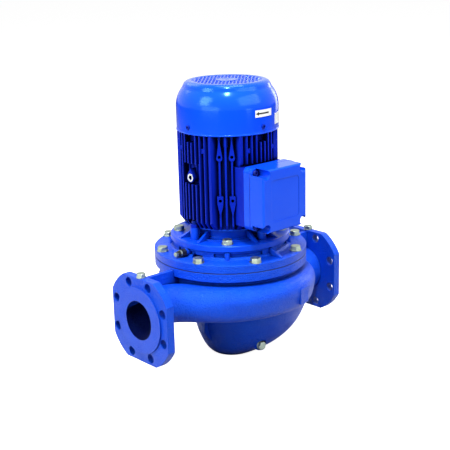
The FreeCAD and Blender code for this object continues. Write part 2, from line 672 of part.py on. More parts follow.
def volute_sections(grown):
    """Sections of the spiral passage and of the discharge, each grown outwards by a wall."""
    wires = []
    for i in range(volute_steps):
        centre, outward, wide, tall = spiral_station(i / (volute_steps - 1))
        wires.append(section(centre, outward, UP, wide + grown, tall + grown, volute_fullness))
    last, outward, wide, tall = spiral_station(1.0)
    port = Vector(-number(face_to_face) / 2, 0, number(pipe_height))
    run = (port - last).Length
    leaving = Vector(outward.y, -outward.x, 0) * run
    bore = number(port_radius)
    for share in (0.36, 0.66, 0.86, 1.0):
        centre, slope = smooth_way(last, leaving, port, AHEAD * -run, share)
        drop = share ** discharge_drop
        centre.z = last.z + (port.z - last.z) * drop
        sideways = Vector(slope.y, -slope.x, 0)
        width = wide + (bore - wide) * share
        height = tall + (bore - tall) * drop
        fullness = volute_fullness + (2.0 - volute_fullness) * share
        wires.append(section(centre, sideways, UP, width + grown, height + grown, fullness))
    return wires


def suction_sections(grown):
    """Sections of the way in, from the port down into the bowl below the impeller."""
    half = number(face_to_face) / 2
    bore = number(port_radius)
    level = number(pipe_height)
    stations = [(half, level, bore, bore), (half - 25, level - 1, bore, bore),
                (half - 60, level - 7, bore + 3, bore - 3), (half - 105, level - 38, bore + 10, bore - 11),
                (half - 150, level - 52, bore + 14, bore - 14)]
    return [section(Vector(x, 0, z), LEFTWARD, UP, wide + grown, tall + grown, 2.0)
            for x, z, wide, tall in stations]


def bowl_sections(inset):
    """Level sections of the bowl: its middle moves towards the suction side as it rises."""
    foot = number(foot_radius)
    rise = number(pipe_height) - 12
    stations = [(0.0, 0.0, foot), (0.05, 5.0, foot + 12), (0.16, 18.0, foot + 33),
                (0.35, 34.0, foot + 56), (0.65, 46.0, foot + 75), (1.0, 52.0, foot + 88)]
    return [section(Vector(shift, 0, rise * share), AHEAD, LEFTWARD, radius - inset, radius - inset, 2.0)
            for share, shift, radius in stations]


def cast_skins():
    """Outer skins of the spiral with its discharge, of the suction bend and of the bowl."""
    wall = number(casing_wall)
    spiral = Part.makeLoft(volute_sections(wall), True, False)
    bend = Part.makeLoft(suction_sections(wall), True, False)
    bowl = Part.makeLoft(bowl_sections(0), True, False)
    return spiral.fuse([bend, bowl])


def water_ways():
    """The spiral passage, the suction passage and the room of the bowl under the impeller."""
    reach = number(face_to_face)
    low = Vector(-reach, -reach, number(bowl_floor))
    between = Part.makeBox(2 * reach, 2 * reach, number(bowl_roof) - number(bowl_floor), low)
    room = Part.makeLoft(bowl_sections(number(bowl_wall)), True, False).common(between)
    spiral = Part.makeLoft(volute_sections(0), True, True)
    bend = Part.makeLoft(suction_sections(0), True, False)
    return spiral, bend, room


def add_casing_middle(body):
    """Turned middle of the casing: its flange, its neck and the plate around the eye."""
    ring_bottom = joint_height - ring_thick
    points = [(0, eye_plate_bottom + 14), (ring_neck_radius - 20, eye_plate_bottom + 14),
              (ring_neck_radius, volute_height - 6), (ring_neck_radius, ring_bottom - ring_step),
              (ring_neck_radius + 5, ring_bottom), (ring_radius - 1, ring_bottom),
              (ring_radius, ring_bottom + 1), (ring_radius, joint_height - 1),
              (ring_radius - 1, joint_height), (0, joint_height)]
    turned("casing_middle", points, body)


def add_pipe_flanges(body):
    """Both pipe flanges: round with four flats, with a raised sealing face."""
    chord = beside(flange_radius, flange_flat)
    back = face_to_face / 2 - flange_thick
    level = pipe_height
    points = [(flange_flat, level - chord), (flange_flat, level + chord, flange_radius),
              (chord, level + flange_flat), (-chord, level + flange_flat, flange_radius),
              (-flange_flat, level + chord), (-flange_flat, level - chord, flange_radius),
              (-chord, level - flange_flat), (chord, level - flange_flat, flange_radius)]
    sketch = draw_outline(new_sketch(body, "pipe_flange_outline", ACROSS_PIPE, back), points)
    plate = pad(body, "pipe_flange_plate", sketch, flange_thick - raised_height)
    face = draw_circle(new_sketch(body, "raised_face_outline", ACROSS_PIPE, back), 0, level, raised_radius)
    raised = pad(body, "raised_face", face, flange_thick)
    repeat(body, [plate, raised], "both_flanges", 2)


def add_casing_ribs(body):
    """Plates on top of both necks, and the rib that runs down to the foot."""
    back = face_to_face / 2 - flange_thick + 2
    top = pipe_height + flange_flat - 3
    neck_rib = draw_outline(new_sketch(body, "neck_rib_outline", ALONG_PIPE),
                            rectangle(ring_neck_radius - 6, back, pipe_height, top))
    repeat(body, [pad(body, "neck_rib", neck_rib, rib_thick, True)], "both_neck_ribs", 2)
    outer = -foot_radius - foot_rib_out
    foot = [(outer, pipe_height), (outer, foot_rib_knee), (-foot_radius - foot_rib_in, foot_rib_low),
            (0, foot_rib_low), (0, pipe_height)]
    foot_rib = draw_outline(new_sketch(body, "foot_rib_outline", ALONG_PIPE), foot)
    pad(body, "foot_rib", foot_rib, rib_thick, True)


def add_casing_bosses(body):
    """Boss of the drain plug, and the cast pad on the side of the volute."""
    boss = new_sketch(body, "drain_boss_outline", ALONG_PIPE, drain_out - drain_boss_long)
    pad(body, "drain_boss", draw_circle(boss, drain_across, drain_height, drain_boss_radius), drain_boss_long)
    deep = cast_pad_root
    share = (tongue_angle - cast_pad_angle) / volute_wrap
    reach = volute_start_radius + volute_growth * share + cast_pad_proud - deep
    half = cast_pad_wide / 2
    middle = volute_height - cast_pad_below
    side_pad = new_sketch(body, "cast_pad_outline", ALONG_PIPE, reach, cast_pad_angle + 90)
    draw_outline(side_pad, rounded(-half, half, middle - cast_pad_tall / 2, middle + cast_pad_tall / 2, 3))
    pad(body, "cast_pad", side_pad, deep)


def cut_water_ways(body):
    """Take the passages out of the casting, each as a body of its own."""
    for name, shape in zip(("spiral_passage", "suction_passage", "bowl_room"), water_ways()):
        core = doc.addObject("PartDesign::Body", name)
        core.BaseFeature = shaped(name + "_core", shape)
        cut = body.newObject("PartDesign::Boolean", name + "_cut")
        cut.Type = "Cut"
        cut.Group = [core]
        body.Tip = cut


def cut_turned_rooms(body):
    """What is turned out of the casing about the shaft axis, from the eye up to the joint."""
    chamber = volute_inner_radius + 8
    ledge = cover_height - 6
    half = impeller_outlet / 2 + shroud_thick + 3
    ring_top = wear_ring_bottom + wear_ring_tall
    points = [(0, eye_plate_bottom), (eye_radius, eye_plate_bottom), (eye_radius, wear_ring_bottom),
              (wear_ring_radius, wear_ring_bottom), (wear_ring_radius, ring_top),
              (wear_ring_radius + 4, ring_top + 4), (chamber, volute_height - half), (chamber, ledge),
              (register_radius, ledge), (register_radius, joint_height + 1), (0, joint_height + 1)]
    sketch = draw_outline(new_sketch(body, "turned_rooms_outline", ALONG_PIPE), points)
    turn_on(body, "Groove", "turned_rooms", sketch)


def tapping_place():
    """Middle of the bolting part of a pipe flange, where the gauge hole goes in."""
    return face_to_face / 2 - (flange_thick + raised_height) / 2


def drill_casing(body):
    """Bolt holes, gauge holes and the drain hole."""
    holes = new_sketch(body, "flange_holes_outline", ACROSS_PIPE, face_to_face / 2)
    for i in range(flange_hole_count):
        angle = math.radians(360.0 / flange_hole_count * (i + 0.5))
        draw_circle(holes, flange_bolt_radius * math.cos(angle),
                    pipe_height + flange_bolt_radius * math.sin(angle), flange_hole_radius)
    drilled = pocket(body, "flange_holes", holes, flange_thick + 1)
    top = pipe_height + flange_flat
    thread = draw_circle(new_sketch(body, "gauge_thread_outline", LEVEL, top), tapping_place(), 0,
                         plug_thread_radius)
    tapped = pocket(body, "gauge_thread", thread, plug_hole_deep)
    bore = draw_circle(new_sketch(body, "gauge_bore_outline", LEVEL, top), tapping_place(), 0,
                       gauge_hole_radius)
    bored = pocket(body, "gauge_bore", bore, flange_flat)
    repeat(body, [drilled, tapped, bored], "both_ends", 2)
    face = new_sketch(body, "drain_face_outline", ALONG_PIPE, drain_out + 40)
    pocket(body, "drain_face", draw_circle(face, drain_across, drain_height, drain_boss_radius + 0.5), 40)
    drain = new_sketch(body, "drain_hole_outline", ALONG_PIPE, drain_out)
    pocket(body, "drain_hole", draw_circle(drain, drain_across, drain_height, plug_thread_radius),
           plug_hole_deep)
    angle = math.radians(180.0 / casing_bolt_count)
    joint = new_sketch(body, "joint_thread_outline", LEVEL, joint_height)
    draw_circle(joint, casing_bolt_radius * math.cos(angle), casing_bolt_radius * math.sin(angle),
                casing_bolt_size)
    repeat(body, [pocket(body, "joint_thread", joint, casing_thread_deep)], "joint_threads",
           casing_bolt_count)


def make_casing():
    """In-line volute casing: cast skins first, then what is added, hollowed and machined."""
    body = new_body("volute_casing")
    body.BaseFeature = shaped("cast_skins", cast_skins())
    add_casing_middle(body)
    add_pipe_flanges(body)
    add_casing_ribs(body)
    add_casing_bosses(body)
    cut_water_ways(body)
    cut_turned_rooms(body)
    drill_casing(body)


def make_casing_gasket():
    top = joint_height + gasket_thick
    body = ring("casing_gasket", register_radius + 1, ring_radius - 0.5, joint_height, top)
    angle = math.radians(180.0 / casing_bolt_count)
    holes = new_sketch(body, "gasket_hole_outline", LEVEL, top)
    draw_circle(holes, casing_bolt_radius * math.cos(angle), casing_bolt_radius * math.sin(angle),
                casing_bolt_size + bolt_clearance)
    repeat(body, [pocket(body, "gasket_hole", holes, gasket_thick + 1)], "gasket_holes", casing_bolt_count)


def make_wear_ring():
    ring("wear_ring", impeller_neck_radius + wear_ring_gap, wear_ring_radius, wear_ring_bottom,
         wear_ring_bottom + wear_ring_tall)


# Bracket

def turn_bracket(label):
    """Casing cover, seal housing, flange and wall of the bracket, all turned in one outline."""
    outer = register_radius - register_fit
    base = joint_height + gasket_thick
    seat = motor_seat_height
    spigot = spigot_radius + spigot_fit
    inner = lantern_radius - lantern_wall
    recess = lantern_radius - lantern_recess
    points = [(seal_room_radius, cover_height), (outer, cover_height), (outer, base), (ring_radius - 1, base),
              (ring_radius, base + 1), (ring_radius, shelf_height - 1.5), (ring_radius - 1.5, shelf_height),
              (lantern_radius + 6, shelf_height), (lantern_radius + 1, shelf_height + recess_lip - 1),
              (recess, shelf_height + recess_lip), (recess, seat - recess_lip - 1),
              (lantern_radius, seat - recess_lip), (lantern_radius, seat), (spigot, seat),
              (spigot, seat - spigot_depth - spigot_below), (spigot - 6, seat - spigot_depth - spigot_below),
              (spigot - 6, seat - 12), (inner, seat - 12), (inner, base),
              (outer - 12, cover_height + cover_thick + 12), (outer - 18, cover_height + cover_thick),
              (seal_hub_radius, cover_height + cover_thick), (seal_hub_radius, seal_hub_top),
              (shaft_hole_radius, seal_hub_top), (shaft_hole_radius, seat_top), (seat_radius, seat_top),
              (seat_radius, seat_bottom), (seal_room_radius, seat_bottom)]
    return turned(label, points)


def add_bracket_ribs(body):
    """Posts between the wall's recesses, round ribs under the motor bolts and slanted webs."""
    inner = lantern_radius - lantern_recess - 2
    seat = motor_seat_height
    post_tall = seat - shelf_height - 2
    wide = math.radians(9.5)
    for name, first, count, angle in (("post", -90, 5, 180), ("side_post", 157.5, 2, 45)):
        sketch = new_sketch(body, name + "_outline", LEVEL, shelf_height, first)
        draw_outline(sketch, [(inner * math.cos(wide), -inner * math.sin(wide)),
                              (lantern_radius * math.cos(wide), -lantern_radius * math.sin(wide),
                               lantern_radius),
                              (lantern_radius * math.cos(wide), lantern_radius * math.sin(wide)),
                              (inner * math.cos(wide), inner * math.sin(wide), -inner)])
        repeat(body, [pad(body, name, sketch, post_tall)], name + "s", count, angle)
    rib = new_sketch(body, "round_rib_outline", LEVEL, shelf_height - 1, 45)
    reach = lantern_radius + 2.5
    half = web_thick / 2 + 2
    draw_outline(rib, [(lantern_radius - 10, -half), (reach, -half, half), (reach + half, 0, half),
                       (reach, half), (lantern_radius - 10, half)])
    ribs = pad(body, "round_rib", rib, seat - shelf_height - 1)
    boss = new_sketch(body, "bolt_boss_outline", LEVEL, seat - 24, 45)
    bosses = pad(body, "bolt_boss", draw_circle(boss, motor_bolt_radius, 0, washer_radius), 24)
    repeat(body, [ribs, bosses], "corner_ribs", motor_bolt_count)
    web = new_sketch(body, "web_outline", ALONG_PIPE, 0, -90)
    draw_outline(web, [(lantern_radius - 8, shelf_height - 1), (ring_radius - 5, shelf_height - 1),
                       (ring_radius - 5, shelf_height + 1), (lantern_radius + 1, seat - 2),
                       (lantern_radius - 8, seat - 2)])
    repeat(body, [pad(body, "web", web, web_thick, True)], "webs", 3, 180)


def add_vent_seat(body):
    """Round seat of the bleed valve on the discharge side, and its tapped hole."""
    seat = new_sketch(body, "vent_seat_outline", ACROSS_PIPE, -(lantern_radius + vent_proud))
    draw_circle(seat, -vent_across, vent_height, vent_seat_radius)
    pad(body, "vent_seat", seat, vent_proud + lantern_recess + 4)
    hole = new_sketch(body, "vent_hole_outline", ACROSS_PIPE, -(lantern_radius - lantern_wall - 10))
    draw_circle(hole, -vent_across, vent_height, vent_thread_radius)
    pocket(body, "vent_hole", hole, lantern_wall + 20 + vent_proud)


def drill_bracket(body):
    """Tapped holes of the motor bolts, clear holes of the casing bolts and the drip opening."""
    seat = motor_seat_height
    tapped = new_sketch(body, "motor_thread_outline", LEVEL, seat, 45)
    draw_circle(tapped, motor_bolt_radius, 0, motor_bolt_size)
    repeat(body, [pocket(body, "motor_thread", tapped, motor_bolt_grip + 5)], "motor_threads",
           motor_bolt_count)
    clear = new_sketch(body, "casing_bolt_hole_outline", LEVEL, shelf_height, 180.0 / casing_bolt_count)
    draw_circle(clear, casing_bolt_radius, 0, casing_bolt_size + bolt_clearance)
    holes = pocket(body, "casing_bolt_hole", clear, bracket_flange_thick + 1)
    repeat(body, [holes], "casing_bolt_holes", casing_bolt_count)
    drip = new_sketch(body, "drip_outline", ALONG_PIPE, lantern_radius + 30, drip_angle)
    draw_outline(drip, rectangle(-drip_wide / 2, drip_wide / 2, shelf_height, shelf_height + drip_tall))
    pocket(body, "drip_opening", drip, lantern_wall + 40)


def make_bracket():
    """Casing cover, seal housing and motor seat in one casting."""
    body = turn_bracket("motor_bracket")
    add_bracket_ribs(body)
    add_vent_seat(body)
    drill_bracket(body)


def make_casing_bolts():
    body = new_body("casing_bolts")
    shank = bracket_flange_thick + gasket_thick + casing_bolt_grip
    bolt = hex_screw(body, "casing_bolt", casing_bolt_radius, shelf_height, casing_bolt_size - thread_fit,
                     shank, bolt_flats, bolt_head_tall, washer_radius, washer_thick)
    repeat(body, bolt, "casing_bolt_ring", casing_bolt_count)
    body.Placement = FreeCAD.Placement(Vector(0, 0, 0), FreeCAD.Rotation(UP, 180.0 / casing_bolt_count))


def make_plugs():
    """Gauge plugs in the tops of both pipe flanges, and the drain plug."""
    body = new_body("gauge_plugs")
    plug = hex_screw(body, "gauge_plug", tapping_place(), pipe_height + flange_flat,
                     plug_thread_radius - thread_fit, plug_thread_long, plug_flats, plug_head_tall,
                     plug_ring_radius, washer_thick)
    repeat(body, plug, "both_plugs", 2)
    drain = new_body("drain_plug")
    hex_screw(drain, "drain", as_size(0), as_size(0), plug_thread_radius - thread_fit, plug_thread_long,
              plug_flats, plug_head_tall, plug_ring_radius, washer_thick)
    place = Vector(number(drain_across), -number(drain_out), number(drain_height))
    drain.Placement = FreeCAD.Placement(place, FreeCAD.Rotation(UP, LEFTWARD * -1))
    drain.setExpression("Placement.Base.x", drain_across.text)
    drain.setExpression("Placement.Base.y", (-drain_out).text)
    drain.setExpression("Placement.Base.z", drain_height.text)


def place_vent(body):
    """Stand a body of the bleed valve on its seat, pointing along the discharge side."""
    place = (-(lantern_radius + vent_proud), -vent_across, vent_height)
    body.Placement = FreeCAD.Placement(Vector(*[number(part) for part in place]),
                                       FreeCAD.Rotation(UP, AHEAD * -1))
    for axis, part in zip("xyz", place):
        body.setExpression("Placement.Base." + axis, part.text)


def make_vent():
    """Bleed valve screwed into the bracket wall, and the small screw that opens it."""
    rod_radius = vent_thread_radius - thread_fit
    rod_end = -12
    drilling = 1.2
    barrel = 6
    nose = 18
    cup = 6.5
    cup_radius = 3
    body = turned("vent_valve", [(drilling, rod_end), (rod_radius, rod_end), (rod_radius, 0), (barrel, 0),
                                 (barrel, nose), (cup_radius, nose), (cup_radius, cup), (drilling, cup)])
    nut_flats_wide = 14
    nut = draw_outline(new_sketch(body, "vent_nut_outline", LEVEL), hexagon(nut_flats_wide))
    draw_circle(nut, 0, 0, barrel - 1)
    nut_high = 9
    pad(body, "vent_nut", nut, nut_high)
    place_vent(body)
    tip = cup + 0.5
    screw = turned("vent_screw", [(0, tip), (1.4, tip), (2.9, tip + 2), (2.9, tip + 16), (0, tip + 16)])
    head = draw_outline(new_sketch(screw, "vent_screw_head_outline", LEVEL, tip + 12), hexagon(9))
    pad(screw, "vent_screw_head", head, 6)
    place_vent(screw)


# Shaft, impeller and seal

def make_shaft():
    shoulder = seal_hub_top + shaft_shoulder_above
    drive_top = drive_bearing_bottom + drive_bearing_width
    tail_top = tail_bearing_bottom + tail_bearing_width + 2
    groove_low = fan_height + fan_hub_above - clip_play
    groove_high = fan_height + fan_hub_above + clip_thick + clip_play
    groove = fan_shaft_radius - clip_depth - clip_play
    points = [(0, shaft_bottom), (thread_radius - 1, shaft_bottom), (thread_radius, shaft_bottom + 1),
              (thread_radius, hub_bottom), (impeller_shaft_radius, hub_bottom),
              (impeller_shaft_radius, cover_height), (seal_shaft_radius, cover_height),
              (seal_shaft_radius, shoulder), (shaft_radius, shoulder), (shaft_radius, drive_top),
              (rotor_shoulder, drive_top), (rotor_shoulder, tail_bearing_bottom),
              (shaft_radius, tail_bearing_bottom), (shaft_radius, tail_top), (fan_shaft_radius, tail_top),
              (fan_shaft_radius, groove_low), (groove, groove_low), (groove, groove_high),
              (fan_shaft_radius, groove_high), (fan_shaft_radius, shaft_top - 1),
              (fan_shaft_radius - 1, shaft_top), (0, shaft_top)]
    body = turned("motor_shaft", points)
    half = key_width / 2
    keyway = new_sketch(body, "keyway_outline", LEVEL, hub_bottom + key_above + key_length)
    draw_outline(keyway, rectangle(impeller_shaft_radius - key_depth, impeller_shaft_radius + 2, -half, half))
    pocket(body, "keyway", keyway, key_length)


def make_key():
    body = new_body("impeller_key")
    half = key_width / 2
    sketch = new_sketch(body, "key_outline", LEVEL, hub_bottom + key_above)
    draw_outline(sketch, rectangle(impeller_shaft_radius - key_depth, impeller_shaft_radius + key_proud,
                                   -half, half))
    pad(body, "key_bar", sketch, key_length)


def bent_strip(start, end, bend, thick):
    """Outline of a strip of even thickness whose middle line is an arc from start to end."""
    run = (end[0] - start[0], end[1] - start[1])
    length = square_root(run[0] * run[0] + run[1] * run[1])
    reach = square_root(bend * bend - length * length / 4)
    middle = ((start[0] + end[0]) / 2 - run[1] / length * reach,
              (start[1] + end[1]) / 2 + run[0] / length * reach)
    half = thick / 2
    corners = []
    for point, share in ((start, 1), (end, 1), (end, -1), (start, -1)):
        corners.append(tuple(point[i] + (point[i] - middle[i]) / bend * half * share for i in (0, 1)))
    corners[0] += (bend + half,)
    corners[2] += (half - bend,)
    return corners


def add_blades(body, low, high):
    """Backward-curved blades between the shrouds."""
    sweep = math.radians(blade_sweep)
    inlet = impeller_neck_radius + 9
    outlet = impeller_radius - blade_thick
    start = (inlet, as_size(0))
    end = (outlet * math.cos(sweep), outlet * math.sin(sweep))
    outline = bent_strip(start, end, blade_curve, blade_thick)
    sketch = draw_outline(new_sketch(body, "blade_outline", LEVEL, low - 2), outline)
    repeat(body, [pad(body, "blade", sketch, high - low + 3)], "blades", blade_count)


def make_impeller():
    """Closed radial impeller with its eye downwards and backward-curved blades."""
    low = volute_height - impeller_outlet / 2
    high = volute_height + impeller_outlet / 2
    neck = impeller_neck_radius
    hub = impeller_hub_radius
    rim = impeller_radius
    bore = impeller_shaft_radius
    body = turned("impeller", [(bore, hub_bottom), (hub - 4, hub_bottom), (hub + 2, high - 6),
                               (hub + 12, high), (rim, high), (rim, high + shroud_thick),
                               (hub + 2, high + shroud_thick), (hub, high + shroud_thick + 3),
                               (hub, cover_height), (bore, cover_height)])
    turned("impeller", [(impeller_eye_radius, impeller_bottom), (neck, impeller_bottom),
                        (neck, impeller_bottom + impeller_neck_tall), (neck + 13, low - shroud_thick - 3),
                        (rim, low - shroud_thick), (rim, low), (neck + 16, low), (neck + 4, low - 6),
                        (impeller_eye_radius, impeller_bottom + impeller_neck_tall)], body, "front_shroud")
    add_blades(body, low, high)
    half = key_width / 2
    way = new_sketch(body, "hub_keyway_outline", LEVEL, cover_height)
    draw_outline(way, rectangle(bore - 2, bore + key_proud + key_play, -half, half))
    pocket(body, "hub_keyway", way, impeller_hub_tall - key_above)


def make_impeller_nut():
    ring("impeller_washer", thread_radius + 0.1, thread_radius + 9, hub_bottom - washer_tall, hub_bottom)
    body = new_body("impeller_nut")
    sketch = draw_outline(new_sketch(body, "nut_outline", LEVEL, nut_bottom), hexagon(nut_flats))
    draw_circle(sketch, 0, 0, thread_radius + thread_fit)
    pad(body, "nut_prism", sketch, nut_tall)
    corner = nut_flats / math.sqrt(3)
    bevel = new_sketch(body, "nut_bevel_outline", ALONG_PIPE)
    draw_outline(bevel, [(corner * 0.85, nut_bottom), (corner * 0.85, nut_bottom - 1),
                         (corner + 1, nut_bottom - 1), (corner + 1, nut_bottom + 2)])
    turn_on(body, "Groove", "nut_bevel", bevel)


def make_seal():
    """Mechanical seal: fixed seat in the cover, spring-loaded face on the shaft."""
    seat_low = seat_bottom - 1
    face_top = seat_low - face_play
    ring("seal_seat", shaft_hole_radius - 1.5, seat_radius - 3, seat_low, seat_top - 2)
    ring("seal_seat_cup", seat_radius - 3, seat_radius, seat_bottom, seat_top - 2)
    ring("seal_face", seal_shaft_radius + 1, seal_shaft_radius + 6, face_top - face_tall, face_top)
    foot = cover_height + 1
    holder = face_top - 9
    turned("seal_bellows", [(seal_shaft_radius, foot), (seal_shaft_radius + 4, foot),
                            (seal_shaft_radius + 4, holder), (seal_shaft_radius + 8, holder),
                            (seal_shaft_radius + 8, face_top - face_tall),
                            (seal_shaft_radius, face_top - face_tall)])
    make_spring(holder)


def make_spring(holder):
    """Coil spring between the casing cover's level and the holder of the turning face."""
    middle = seal_shaft_radius + 4 + spring_wire_radius + spring_fit
    low = cover_height + spring_wire_radius + spring_fit
    height = holder - spring_wire_radius - spring_fit - low
    body = new_body("seal_spring")
    wire = new_sketch(body, "spring_wire_outline", ALONG_PIPE)
    draw_circle(wire, middle, low, spring_wire_radius)
    coil = body.newObject("PartDesign::AdditiveHelix", "spring_coil")
    coil.Profile = wire
    coil.ReferenceAxis = (wire, ["V_Axis"])
    coil.Mode = 0
    coil.Pitch = number(height / spring_turns)
    coil.Height = number(height)
    coil.setExpression("Pitch", (height / spring_turns).text)
    coil.setExpression("Height", height.text)


def make_slinger():
    turned("slinger_ring", [(shaft_radius, slinger_bottom), (shaft_radius + 9, slinger_bottom - 2),
                            (shaft_radius + 10, slinger_bottom), (shaft_radius + 4, slinger_bottom + 3),
                            (shaft_radius + 4, slinger_bottom + 8), (shaft_radius, slinger_bottom + 8)])


# Motor

def turn_drive_shield(label):
    """Motor flange with its spigot, the neck up to the frame and the bearing housing."""
    seat = motor_seat_height
    top = motor_flange_top
    joint = frame_bottom
    bearing = drive_bearing_bottom
    bearing_top = bearing + drive_bearing_width + 1
    neck = shield_neck_radius
    bore = barrel_radius - barrel_wall
    points = [(shaft_hole_radius, seat - spigot_depth), (spigot_radius - 1, seat - spigot_depth),
              (spigot_radius, seat - spigot_depth + 1), (spigot_radius, seat), (motor_flange_radius, seat),
              (motor_flange_radius, top - 1.5), (motor_flange_radius - 1.5, top), (neck + 16, top),
              (neck + 16, top + 2), (neck + 3, top + 2), (neck, top + 5), (neck, joint - 5),
              (barrel_radius, joint - 3), (barrel_radius, joint), (bore, joint), (bore, joint + 7),
              (neck - 2, joint + 7), (neck - 7, joint - 2), (neck - 7, top - 3),
              (drive_bearing_radius + 10, top - 3), (drive_bearing_radius + 10, bearing_top),
              (drive_bearing_radius, bearing_top), (drive_bearing_radius, bearing),
              (drive_bearing_radius - 6, bearing), (drive_bearing_radius - 6, bearing - 4),
              (shaft_hole_radius, bearing - 4)]
    return turned(label, points)


def make_drive_shield():
    """Drive-end shield: motor flange, bearing housing and seat of the finned frame."""
    body = turn_drive_shield("drive_end_shield")
    top = motor_flange_top
    joint = frame_bottom
    ear = new_sketch(body, "shield_ear_outline", LEVEL, top - 1)
    ears = pad(body, "shield_ear", draw_circle(ear, ear_middle, 0, ear_radius), joint - top + 1)
    steps = [ears]
    neck = shield_neck_radius
    for name, angle in (("left_web", 14), ("right_web", -14)):
        web = new_sketch(body, name + "_outline", ALONG_PIPE, 0, angle)
        draw_outline(web, [(neck - 3, top - 1), (neck + 40, top - 1), (neck + 40, top + 1),
                           (neck + 2, joint - 6), (neck - 3, joint - 6)])
        steps.append(pad(body, name, web, web_thick - 1, True))
    repeat(body, steps, "shield_ears", 4)
    hole = new_sketch(body, "flange_hole_outline", LEVEL, top + 20, 45)
    draw_circle(hole, motor_bolt_radius, 0, motor_bolt_size + bolt_clearance)
    holes = pocket(body, "flange_hole", hole, motor_flange_thick + 21)
    thread = new_sketch(body, "ear_thread_outline", LEVEL, joint)
    threads = pocket(body, "ear_thread", draw_circle(thread, ear_middle, 0, ear_screw), ear_screw_grip + 3)
    repeat(body, [holes, threads], "shield_holes", 4)


def make_motor_bolts():
    body = new_body("motor_bolts")
    bolt = hex_screw(body, "motor_bolt", motor_bolt_radius, motor_flange_top, motor_bolt_size - thread_fit,
                     motor_flange_thick + motor_bolt_grip, bolt_flats, bolt_head_tall, washer_radius,
                     washer_thick)
    repeat(body, bolt, "motor_bolt_ring", motor_bolt_count)
    body.Placement = FreeCAD.Placement(Vector(0, 0, 0), FreeCAD.Rotation(UP, 45))
    screws = new_body("shield_screws")
    screw = socket_screw(screws, "shield_screw", ear_middle, frame_bottom + ear_tall, ear_screw - thread_fit,
                         ear_tall + ear_screw_grip, 5.2, 6)
    repeat(screws, screw, "shield_screw_ring", 4)


def fin_outline(across, half):
    """Foot print of one fin on the +X side, from inside the wall out to the circle of tips."""
    root = beside(barrel_radius - barrel_wall / 2, across)
    tip = beside(fin_radius, across)
    return rectangle(root, tip, across - half, across + half)


def add_fins(body):
    """Straight fins on all four sides, parallel on each side; the outermost pair is broad."""
    tall = frame_top - frame_bottom
    long_fins = new_sketch(body, "long_fins_outline", LEVEL, frame_bottom)
    short_fins = new_sketch(body, "short_fins_outline", LEVEL, frame_bottom + short_fin_low)
    for i in range(fins_each_side):
        place = i - (fins_each_side - 1) / 2
        outermost = i in (0, fins_each_side - 1)
        half = broad_fin_thick / 2 if outermost else fin_thick / 2
        sketch = short_fins if abs(place) < 1 else long_fins
        draw_outline(sketch, fin_outline(fin_pitch * place, half))
    steps = [pad(body, "long_fins", long_fins, tall),
             pad(body, "short_fins", short_fins, tall - short_fin_low - short_fin_high)]
    repeat(body, steps, "fins", 4)


def teardrop(half, low, high, across):
    """Outline that is round below and comes to a point above."""
    middle = low + half
    reach = high - middle
    drop = half * half / reach
    touch = half * square_root(reach * reach - half * half) / reach
    return [(across, high), (across - touch, middle + drop, half), (across, low, half),
            (across + touch, middle + drop)]


def add_foot_pads(body):
    """Corner ribs and tapped foot pads, with their points towards the ends of the frame."""
    inner = barrel_radius - 4
    tall = frame_top - frame_bottom
    low = frame_bottom
    corner_rib = new_sketch(body, "corner_rib_outline", LEVEL, low, 45)
    draw_outline(corner_rib, rectangle(inner, pad_face + 1.5, -2, 2))
    pad_ribs = new_sketch(body, "pad_rib_outline", LEVEL, low, 45)
    pads = new_sketch(body, "foot_pad_outline", ACROSS_PIPE, inner, 45)
    for side in (-1, 1):
        across = pad_spread * side
        draw_outline(pad_ribs, rectangle(inner, pad_face - 1, across - pad_rib / 2, across + pad_rib / 2))
        draw_outline(pads, teardrop(pad_half, low + upper_pad_low, low + upper_pad_high, across))
        draw_outline(pads, [(across - pad_half, low + lower_pad_top),
                            (across - pad_half, low + lower_pad_shoulder), (across, low + lower_pad_point),
                            (across + pad_half, low + lower_pad_shoulder),
                            (across + pad_half, low + lower_pad_top)])
    steps = [pad(body, "corner_rib", corner_rib, tall), pad(body, "pad_ribs", pad_ribs, tall),
             pad(body, "foot_pads", pads, pad_face - inner)]
    repeat(body, steps, "foot_pad_corners", 4)


def add_frame_bosses(body):
    """Round bosses of the small screws and bosses of the fan-end screws."""
    inner = barrel_radius - 3
    level = frame_bottom + frame_screw_above
    reach = frame_screw_face()
    boss = new_sketch(body, "screw_boss_outline", ACROSS_PIPE, inner)
    for side in (-1, 1):
        draw_circle(boss, frame_screw_across * side, level, frame_boss_radius)
    bosses = pad(body, "screw_bosses", boss, reach - inner)
    tail = new_sketch(body, "tail_boss_outline", LEVEL, frame_top - 22, 45)
    tails = pad(body, "tail_boss", draw_circle(tail, tail_screw_radius, 0, 6), 22)
    repeat(body, [bosses, tails], "frame_bosses", 4)


def frame_screw_face():
    """How far out the small screws end in their round bosses."""
    return beside(fin_radius, frame_screw_across + frame_boss_radius) - 0.5


def bevel_fins(body):
    """Slant the lower ends of all fins, as a cone about the shaft."""
    bevel = new_sketch(body, "fin_bevel_outline", ALONG_PIPE)
    draw_outline(bevel, [(fin_radius - fin_bevel, frame_bottom), (fin_radius - fin_bevel, frame_bottom - 1),
                         (fin_radius + 3, frame_bottom - 1),
                         (fin_radius + 3, frame_bottom + fin_bevel_tall + 4)])
    turn_on(body, "Groove", "fin_bevel", bevel)


